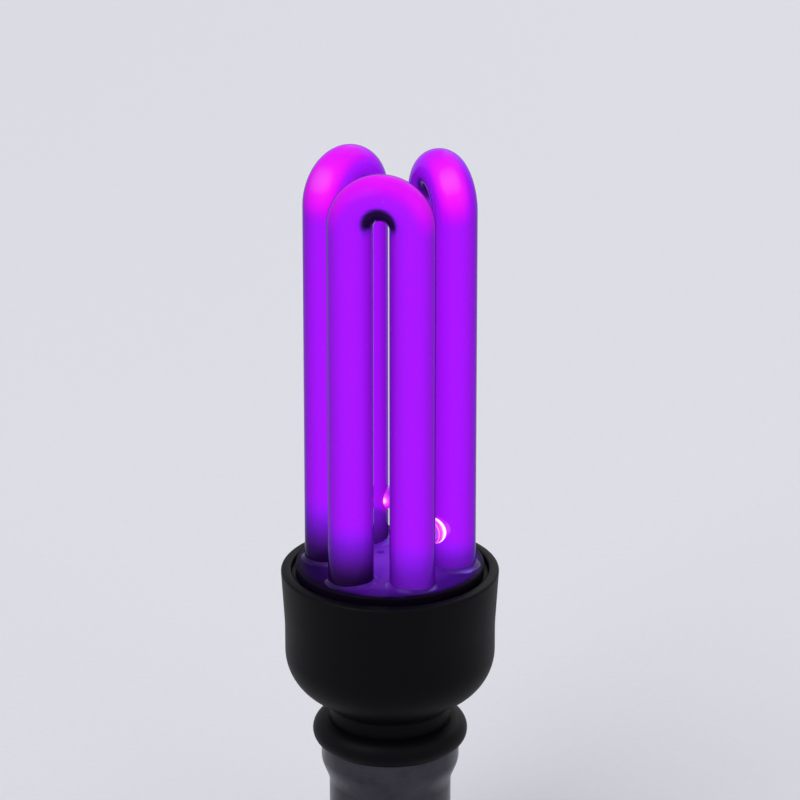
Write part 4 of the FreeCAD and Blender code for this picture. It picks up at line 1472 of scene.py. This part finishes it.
@dataclass
class Housing:
    """The black bowl with its rim and neck, and the rounded collar below it.

    Attributes:
        rim: Outside of the rim.
        belt: Where the bowl meets the straight wall.
        belt_height: Height of the belt.
        bowl: Arc of the bowl.
        neck: Outside of the neck.
        bowl_foot: Height where the bowl leaves the neck.
        mouth: Inside of the rim.
        seat: Inside of the ledge under the plate.
        wall: Wall of bowl and neck.
        edge: Rounding of the small edges.
        neck_round: Rounding where the bowl leaves the neck.
        belt_round: Rounding at the belt.
        rim_slope: Width of the rim's sloped top.
        rim_drop: What that slope falls to the outside.
        rim_round: Rounding of the rim's outside.
        lip_round: Rounding of its inside.
        ledge_round: Rounding in the corner of the ledge.
        inner_lift: What the inside's lowest corner stands above the outside's.
        bore_lift: What the neck's bore stands above the bowl's foot, and its rounding there.
        bulge: Radius of the collar's bulge.
        bulge_height: Height of the bulge's middle.
        bulge_share: Share of the bulge's arc that is kept towards its foot.
        collar_foot: Inside of the collar's flat foot.
        overlap: How far the collar runs into the neck.
    """

    rim: float = 23.1 * MM
    belt: float = 22.3 * MM
    belt_height: float = 61.07 * MM
    bowl: float = 22.6 * MM
    neck: float = 13.0 * MM
    bowl_foot: float = 42.8 * MM
    mouth: float = 20.8 * MM
    seat: float = 19.1 * MM
    wall: float = 1.8 * MM
    edge: float = 0.2 * MM
    neck_round: float = 1.2 * MM
    belt_round: float = 60.0 * MM
    rim_slope: float = 1.2 * MM
    rim_drop: float = 0.2 * MM
    rim_round: float = 1.4 * MM
    lip_round: float = 0.9 * MM
    ledge_round: float = 0.15 * MM
    inner_lift: float = 2.0 * MM
    bore_lift: float = 1.0 * MM
    bulge: float = 3.0 * MM
    bulge_height: float = 36.4 * MM
    bulge_share: float = 0.985
    collar_foot: float = 14.2 * MM
    overlap: float = 0.1 * MM

    ARC_STEPS: ClassVar[int] = 20
    BULGE_STEPS: ClassVar[int] = 40

    def shell(self) -> np.ndarray:
        """The bowl's closed outline, from the neck's foot up its outside, over the rim and down its inside.

        The bowl's arc rounds one corner, where the belt's upright meets the arc's tangent at the neck.

        Returns:
            Rows of (radius, height).
        """
        low, high = heights("housing")
        foot = heights("tube_plate")[0]
        middle = self.belt - self.bowl
        slope = (self.neck - middle) / (self.belt_height - self.bowl_foot)
        corner = self.bowl_foot + (self.belt - self.neck) * slope
        bore = self.neck - self.wall
        outside = ((self.neck, low, self.edge), (self.neck, self.bowl_foot, self.neck_round),
                   (self.belt, corner, self.bowl), (self.belt, self.belt_height, self.belt_round))
        rim = ((self.rim, high - self.rim_drop, self.rim_round),
               (self.rim - self.rim_slope, high, self.rim_round),
               (self.mouth, high, self.lip_round), (self.mouth, foot, self.ledge_round))
        inside = ((self.seat, foot, self.edge), (self.seat, corner + self.inner_lift, self.bowl),
                  (bore, self.bowl_foot + self.bore_lift, self.bore_lift), (bore, low, self.edge))
        return rounded(outside + rim + inside, self.ARC_STEPS)

    def collar(self) -> np.ndarray:
        """The collar's closed outline: a bulge, flat on its foot, round the neck.

        Returns:
            Rows of (radius, height).
        """
        low, high = heights("screw_shell")[1], heights("neck_collar")[1]
        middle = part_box("neck_collar")[1].x - self.bulge
        first = -math.asin((self.bulge_height - low) / self.bulge) * self.bulge_share
        turn = np.linspace(first, math.pi / 2, self.BULGE_STEPS)
        bulge = [middle + self.bulge * np.cos(turn), self.bulge_height + self.bulge * np.sin(turn)]
        bore = self.neck - self.overlap
        return np.concatenate([np.stack(bulge, -1), [[bore, high], [bore, low], [self.collar_foot, low]]])

    def build(self) -> None:
        """Builds the bowl and the collar."""
        black = Moulded("black_plastic", gloss=0.06)
        bowl = Skin().add(lathe(self.shell()), ring=True)
        add_piece(bowl.make("housing_bowl"), black, "black_plastic", "housing")
        collar = Skin().add(lathe(self.collar()), ring=True)
        add_piece(collar.make("collar_ring"), black, "black_plastic", "neck_collar")


@dataclass
class ScrewCap:
    """The sheet-metal shell with its rolled thread.

    Attributes:
        root: Shell between the thread's turns.
        depth: Height of a turn.
        pitch: Pitch of the thread.
        roll: Power that makes a turn's crest narrower than its root.
        first: First crest above the shell's foot.
        run_in: Where the thread starts and is full, above the shell's foot.
        run_out: Heights where it starts to fade and has gone.
        sheet: Wall of the sheet.
        band: Outside of the plain band.
        to_band: Heights between which the root widens to the band.
        skirt: Outside of the skirt.
        to_skirt: Heights between which the band widens to the skirt.
        curl: What the foot's round edge draws in.
        curl_height: Height of that edge.
        lip: Inside of the foot's lip.
        lip_edge: Inside of the lip at its edges.
    """

    root: float = 12.2 * MM
    depth: float = 0.85 * MM
    pitch: float = 3.629 * MM
    roll: float = 1.3
    first: float = 1.2 * MM
    run_in: tuple[float, float] = (0.4 * MM, 2.6 * MM)
    run_out: tuple[float, float] = (16.4 * MM, 18.4 * MM)
    sheet: float = 0.4 * MM
    band: float = 13.0 * MM
    to_band: tuple[float, float] = (18.2 * MM, 19.2 * MM)
    skirt: float = 14.7 * MM
    to_skirt: tuple[float, float] = (24.4 * MM, 30.4 * MM)
    curl: float = 0.35 * MM
    curl_height: float = 0.5 * MM
    lip: float = 11.0 * MM
    lip_edge: float = 11.05 * MM

    AROUND: ClassVar[int] = 192
    ROWS: ClassVar[int] = 230

    def face(self, inset: float) -> np.ndarray:
        """One face of the shell.

        The plain radius eases from root to band and from band to skirt. Along the threaded stretch it gains
        depth * (0.5 + 0.5 cos(2 pi (z / pitch - t / 2 pi)))^roll, eased in and out, so that the crest climbs
        one pitch in a turn to the right. The foot's edge is drawn in as a quarter of an ellipse.

        Args:
            inset: How far the face stands inside the shell's outside.

        Returns:
            The points as rows, height by turn.
        """
        low, high = heights("screw_shell")
        turn, height = circle(self.AROUND)[None, :], np.linspace(low, high, self.ROWS)[:, None]
        plain = self.root + (self.band - self.root) * smooth(height, *self.to_band)
        plain = plain + (self.skirt - self.band) * smooth(height, *self.to_skirt)
        below = 1.0 - np.clip((height - low) / self.curl_height, 0.0, 1.0)
        plain = plain - self.curl * (1.0 - np.sqrt(1.0 - below ** 2))
        phase = 2.0 * math.pi * (height - low - self.first) / self.pitch - turn
        rolled = self.depth * (0.5 + 0.5 * np.cos(phase)) ** self.roll
        rolled = rolled * smooth(height, low + self.run_in[0], low + self.run_in[1])
        rolled = rolled * (1.0 - smooth(height, *self.run_out))
        return turned(plain + rolled - inset, height, turn)

    def build(self) -> None:
        """Builds the shell from its two faces and the lip of its foot."""
        low = heights("screw_shell")[0]
        lip = np.array([[self.lip_edge, low + self.sheet], [self.lip, low + self.sheet / 2.0],
                        [self.lip_edge, low]])
        rows = np.concatenate([self.face(0.0), self.face(self.sheet)[::-1], lathe(lip, self.AROUND)])
        shell = Skin().add(rows, ring=True)
        add_piece(shell.make("cap_shell", 50.0), WornMetal("cap_metal"), "cap_metal", "screw_shell")


@dataclass
class CapFoot:
    """The glass insulator in the shell's foot, the centre contact and the solder on it.

    Attributes:
        glass: Outside of the insulator, in the shell's lip.
        glass_bore: Its bore, round the contact.
        glass_foot: Radius of its flat foot.
        glass_side: Height where its cone meets its side.
        contact: Outside of the contact's disc.
        contact_sheet: Thickness of the disc.
        stem: Outside of the contact's stem.
        eye: Bore of the contact.
        solder: Radius of the solder.
        solder_foot: Radius of its flat back.
        solder_sunk: How far its back stands in the contact.
    """

    glass: float = 11.0 * MM
    glass_bore: float = 2.2 * MM
    glass_foot: float = 5.4 * MM
    glass_side: float = 4.6 * MM
    contact: float = 4.8 * MM
    contact_sheet: float = 0.6 * MM
    stem: float = 1.9 * MM
    eye: float = 1.0 * MM
    solder: float = 2.2 * MM
    solder_foot: float = 2.1 * MM
    solder_sunk: float = 0.02 * MM

    AROUND: ClassVar[int] = 96
    DOME_STEPS: ClassVar[int] = 24

    def insulator(self) -> np.ndarray:
        """The insulator's closed outline: a cone from its flat foot up to the shell, with a bore.

        Returns:
            Rows of (radius, height).
        """
        low, high = heights("cap_insulator")
        bore, side, edge = self.glass_bore, self.glass, 0.2 * MM
        foot_round, side_round = 0.8 * MM, 0.5 * MM
        return rounded(((bore, low, edge), (self.glass_foot, low, foot_round),
                        (side, self.glass_side, side_round), (side, high, edge), (bore, high, edge)))

    def disc(self) -> np.ndarray:
        """The contact's closed outline: a disc with a hollow stem above it.

        Returns:
            Rows of (radius, height).
        """
        low, high = heights("centre_contact")
        back, edge = low + self.contact_sheet, 0.1 * MM
        front_round, back_round = 0.25 * MM, 0.2 * MM
        return rounded(((self.eye, low, edge), (self.contact, low, front_round),
                        (self.contact, back, back_round), (self.stem, back, edge),
                        (self.stem, high, edge), (self.eye, high, edge)))

    def dome(self) -> np.ndarray:
        """The solder's outline: a quarter of an ellipse from its tip, and a flat back.

        Returns:
            Rows of (radius, height).
        """
        low, high = heights("contact_solder")
        arc, back = np.linspace(0.0, math.pi / 2, self.DOME_STEPS), high + self.solder_sunk
        front = np.stack([self.solder * np.sin(arc), high - (high - low) * np.cos(arc)], -1)
        return np.concatenate([front, [[self.solder_foot, back], [0.0, back]]])

    def build(self) -> None:
        """Builds the insulator, the contact and the solder."""
        black = Moulded("black_glass", srgb(22, 20, 26), srgb(16, 15, 20), (0.06, 0.16), 1.4 * MM, 0.05 * MM,
                        0.3)
        glass = Skin().add(lathe(self.insulator()), ring=True)
        add_piece(glass.make("insulator_glass"), black, "black_glass", "cap_insulator")
        brass = WornMetal("contact_brass", srgb(206, 170, 96), srgb(150, 112, 58), (0.2, 0.42), Lay.EVEN)
        disc = Skin().add(lathe(self.disc(), self.AROUND), ring=True)
        add_piece(disc.make("contact_disc"), brass, "contact_brass", "centre_contact")
        tin = WornMetal("solder", srgb(206, 208, 212), srgb(168, 168, 172), (0.18, 0.36), Lay.EVEN, 0.03 * MM)
        dome = Skin().add(lathe(self.dome(), self.AROUND))
        add_piece(dome.make("solder_dome"), tin, "solder", "contact_solder")


@dataclass
class Ballast:
    """The board and the parts on it, hidden in the bowl.

    Attributes:
        resin: Roughness of dipped and lacquered parts.
    """

    resin: tuple[float, float] = (0.12, 0.28)

    def dipped(self, name: str, colour: Colour, shade: Colour, *relief: float) -> Moulded:
        """A glossy dipped or lacquered finish.

        Args:
            name: Name of the material.
            colour: Main colour.
            shade: Colour of its patches.
            *relief: Width and depth of its grain, in metres, and the weight of its coat.

        Returns:
            The finish.
        """
        return Moulded(name, colour, shade, self.resin, *relief)

    def build(self) -> None:
        """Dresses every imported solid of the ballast."""
        dress(Laminate("board_laminate"), "circuit_board")
        ferrite = Moulded("ferrite", srgb(82, 80, 84), srgb(60, 58, 62), (0.55, 0.75), 0.15 * MM, 0.03 * MM)
        dress(ferrite, "choke_core", "drive_toroid")
        bobbin = Moulded("bobbin_plastic", srgb(122, 122, 118), srgb(104, 104, 100), (0.4, 0.55))
        dress(bobbin, "choke_bobbin")
        dress(Wound("copper_winding"), "choke_winding", "toroid_windings")
        blue = self.dipped("capacitor_sleeve", srgb(52, 62, 108), srgb(42, 50, 92), 0.8 * MM, 0.03 * MM, 0.2)
        dress(blue, "bulk_capacitor")
        red = self.dipped("film_dip", srgb(178, 74, 46), srgb(150, 56, 34), 1.2 * MM, 0.06 * MM, 0.4)
        dress(red, "resonant_capacitor", "coupling_capacitor")
        epoxy = Moulded("black_epoxy", srgb(44, 43, 44), srgb(34, 33, 34), (0.5, 0.66), 0.2 * MM, 0.02 * MM)
        dress(epoxy, "transistor_upper", "transistor_lower", "rectifier_diodes")
        tan = self.dipped("axial_lacquer", srgb(206, 184, 146), srgb(186, 162, 122), MM, 0.04 * MM, 0.3)
        dress(tan, "resistors", "trigger_diac", "fuse_resistor")
        green = self.dipped("thermistor_dip", srgb(86, 142, 100), srgb(66, 118, 82), MM, 0.05 * MM, 0.4)
        dress(green, "start_thermistor")
        dress(LEAD_WIRE, "line_lead_lower", "line_lead_upper", "shell_lead")


@dataclass(frozen=True)
class SoftLight:
    """One soft studio light.

    Attributes:
        name: Its name.
        place: Where it stands.
        power: Its power in watts.
        size: Width of its square.
    """

    name: str
    place: tuple[float, float, float]
    power: float
    size: float = 2.0

    def build(self, aim: Vector) -> None:
        """Makes the light.

        Args:
            aim: The point that it is turned to.
        """
        data = bpy.data.lights.new(self.name, "AREA")
        data.size, data.energy = self.size, self.power
        made = bpy.data.objects.new(self.name, data)
        made.location = self.place
        made.rotation_euler = (aim - Vector(self.place)).to_track_quat("-Z", "Y").to_euler()
        bpy.context.scene.collection.objects.link(made)


@dataclass
class Studio:
    """Pale floor, soft lights and the camera at the photo's viewing angle.

    Attributes:
        eye: Place of the camera.
        aim: Point in the middle of the picture.
        lens: Focal length in millimetres.
        sensor: Width of the sensor in millimetres.
        sight: How far the camera sees.
        reach: Half the width of the floor.
        room: Light of the room.
        backdrop: Colour of the room where it is looked at.
        lights: The lights.
    """

    eye: Vector = field(default_factory=lambda: Vector((141.61, -938.58, 480.97)) * MM)
    aim: Vector = field(default_factory=lambda: Vector((2.096, 0.316, 111.40)) * MM)
    lens: float = 219.728
    sensor: float = 36.0
    sight: float = 20.0
    reach: float = 4.0
    room: Colour = srgb(159, 160, 165)
    backdrop: Colour = srgb(222, 222, 228)
    lights: tuple[SoftLight, ...] = (
        SoftLight("key", (-1.2, -1.45, 1.85), 30.0),
        SoftLight("fill", (1.75, -1.0, 1.1), 7.0),
        SoftLight("back", (0.55, 1.65, 1.55), 14.0),
    )

    def floor(self) -> None:
        """Makes the wide pale floor at the lamp's foot."""
        reach, level = self.reach, CAD_BOX[0][2]
        corners = [(-reach, -reach, level), (reach, -reach, level),
                   (reach, reach, level), (-reach, reach, level)]
        mesh = bpy.data.meshes.new("floor")
        mesh.from_pydata(corners, [], [(0, 1, 2, 3)])
        made = bpy.data.objects.new("floor", mesh)
        bpy.context.scene.collection.objects.link(made)
        mesh.materials.append(FloorPaper("floor_paper").material())

    def sky(self) -> None:
        """Lights the room with an even grey, which looks pale where it is looked at."""
        world = bpy.data.worlds.new("room")
        graph = Graph(world)
        graph.shade(Color=graph.mix(graph.looked_at(), self.room, self.backdrop))
        bpy.context.scene.world = world

    def camera(self) -> None:
        """Places the camera."""
        data = bpy.data.cameras.new("camera")
        data.lens, data.sensor_width, data.clip_end = self.lens, self.sensor, self.sight
        made = bpy.data.objects.new("camera", data)
        made.location = self.eye
        made.rotation_euler = (self.aim - self.eye).to_track_quat("-Z", "Y").to_euler()
        bpy.context.scene.collection.objects.link(made)
        bpy.context.scene.camera = made

    def build(self) -> None:
        """Builds the floor, the lights, the room and the camera."""
        self.floor()
        for light in self.lights:
            light.build(self.aim)
        self.sky()
        self.camera()
        bpy.context.scene.view_settings.view_transform = "Standard"


def main() -> None:
    """Builds the lamp's sub-assemblies in order, then the studio."""
    logging.basicConfig(level=logging.INFO, format="%(name)s %(message)s")
    tubes = TubeSet()
    for assembly in (tubes, PlateSet(tubes), Housing(), ScrewCap(), CapFoot(), Ballast(), Studio()):
        assembly.build()


if __name__ == "__main__":
    main()
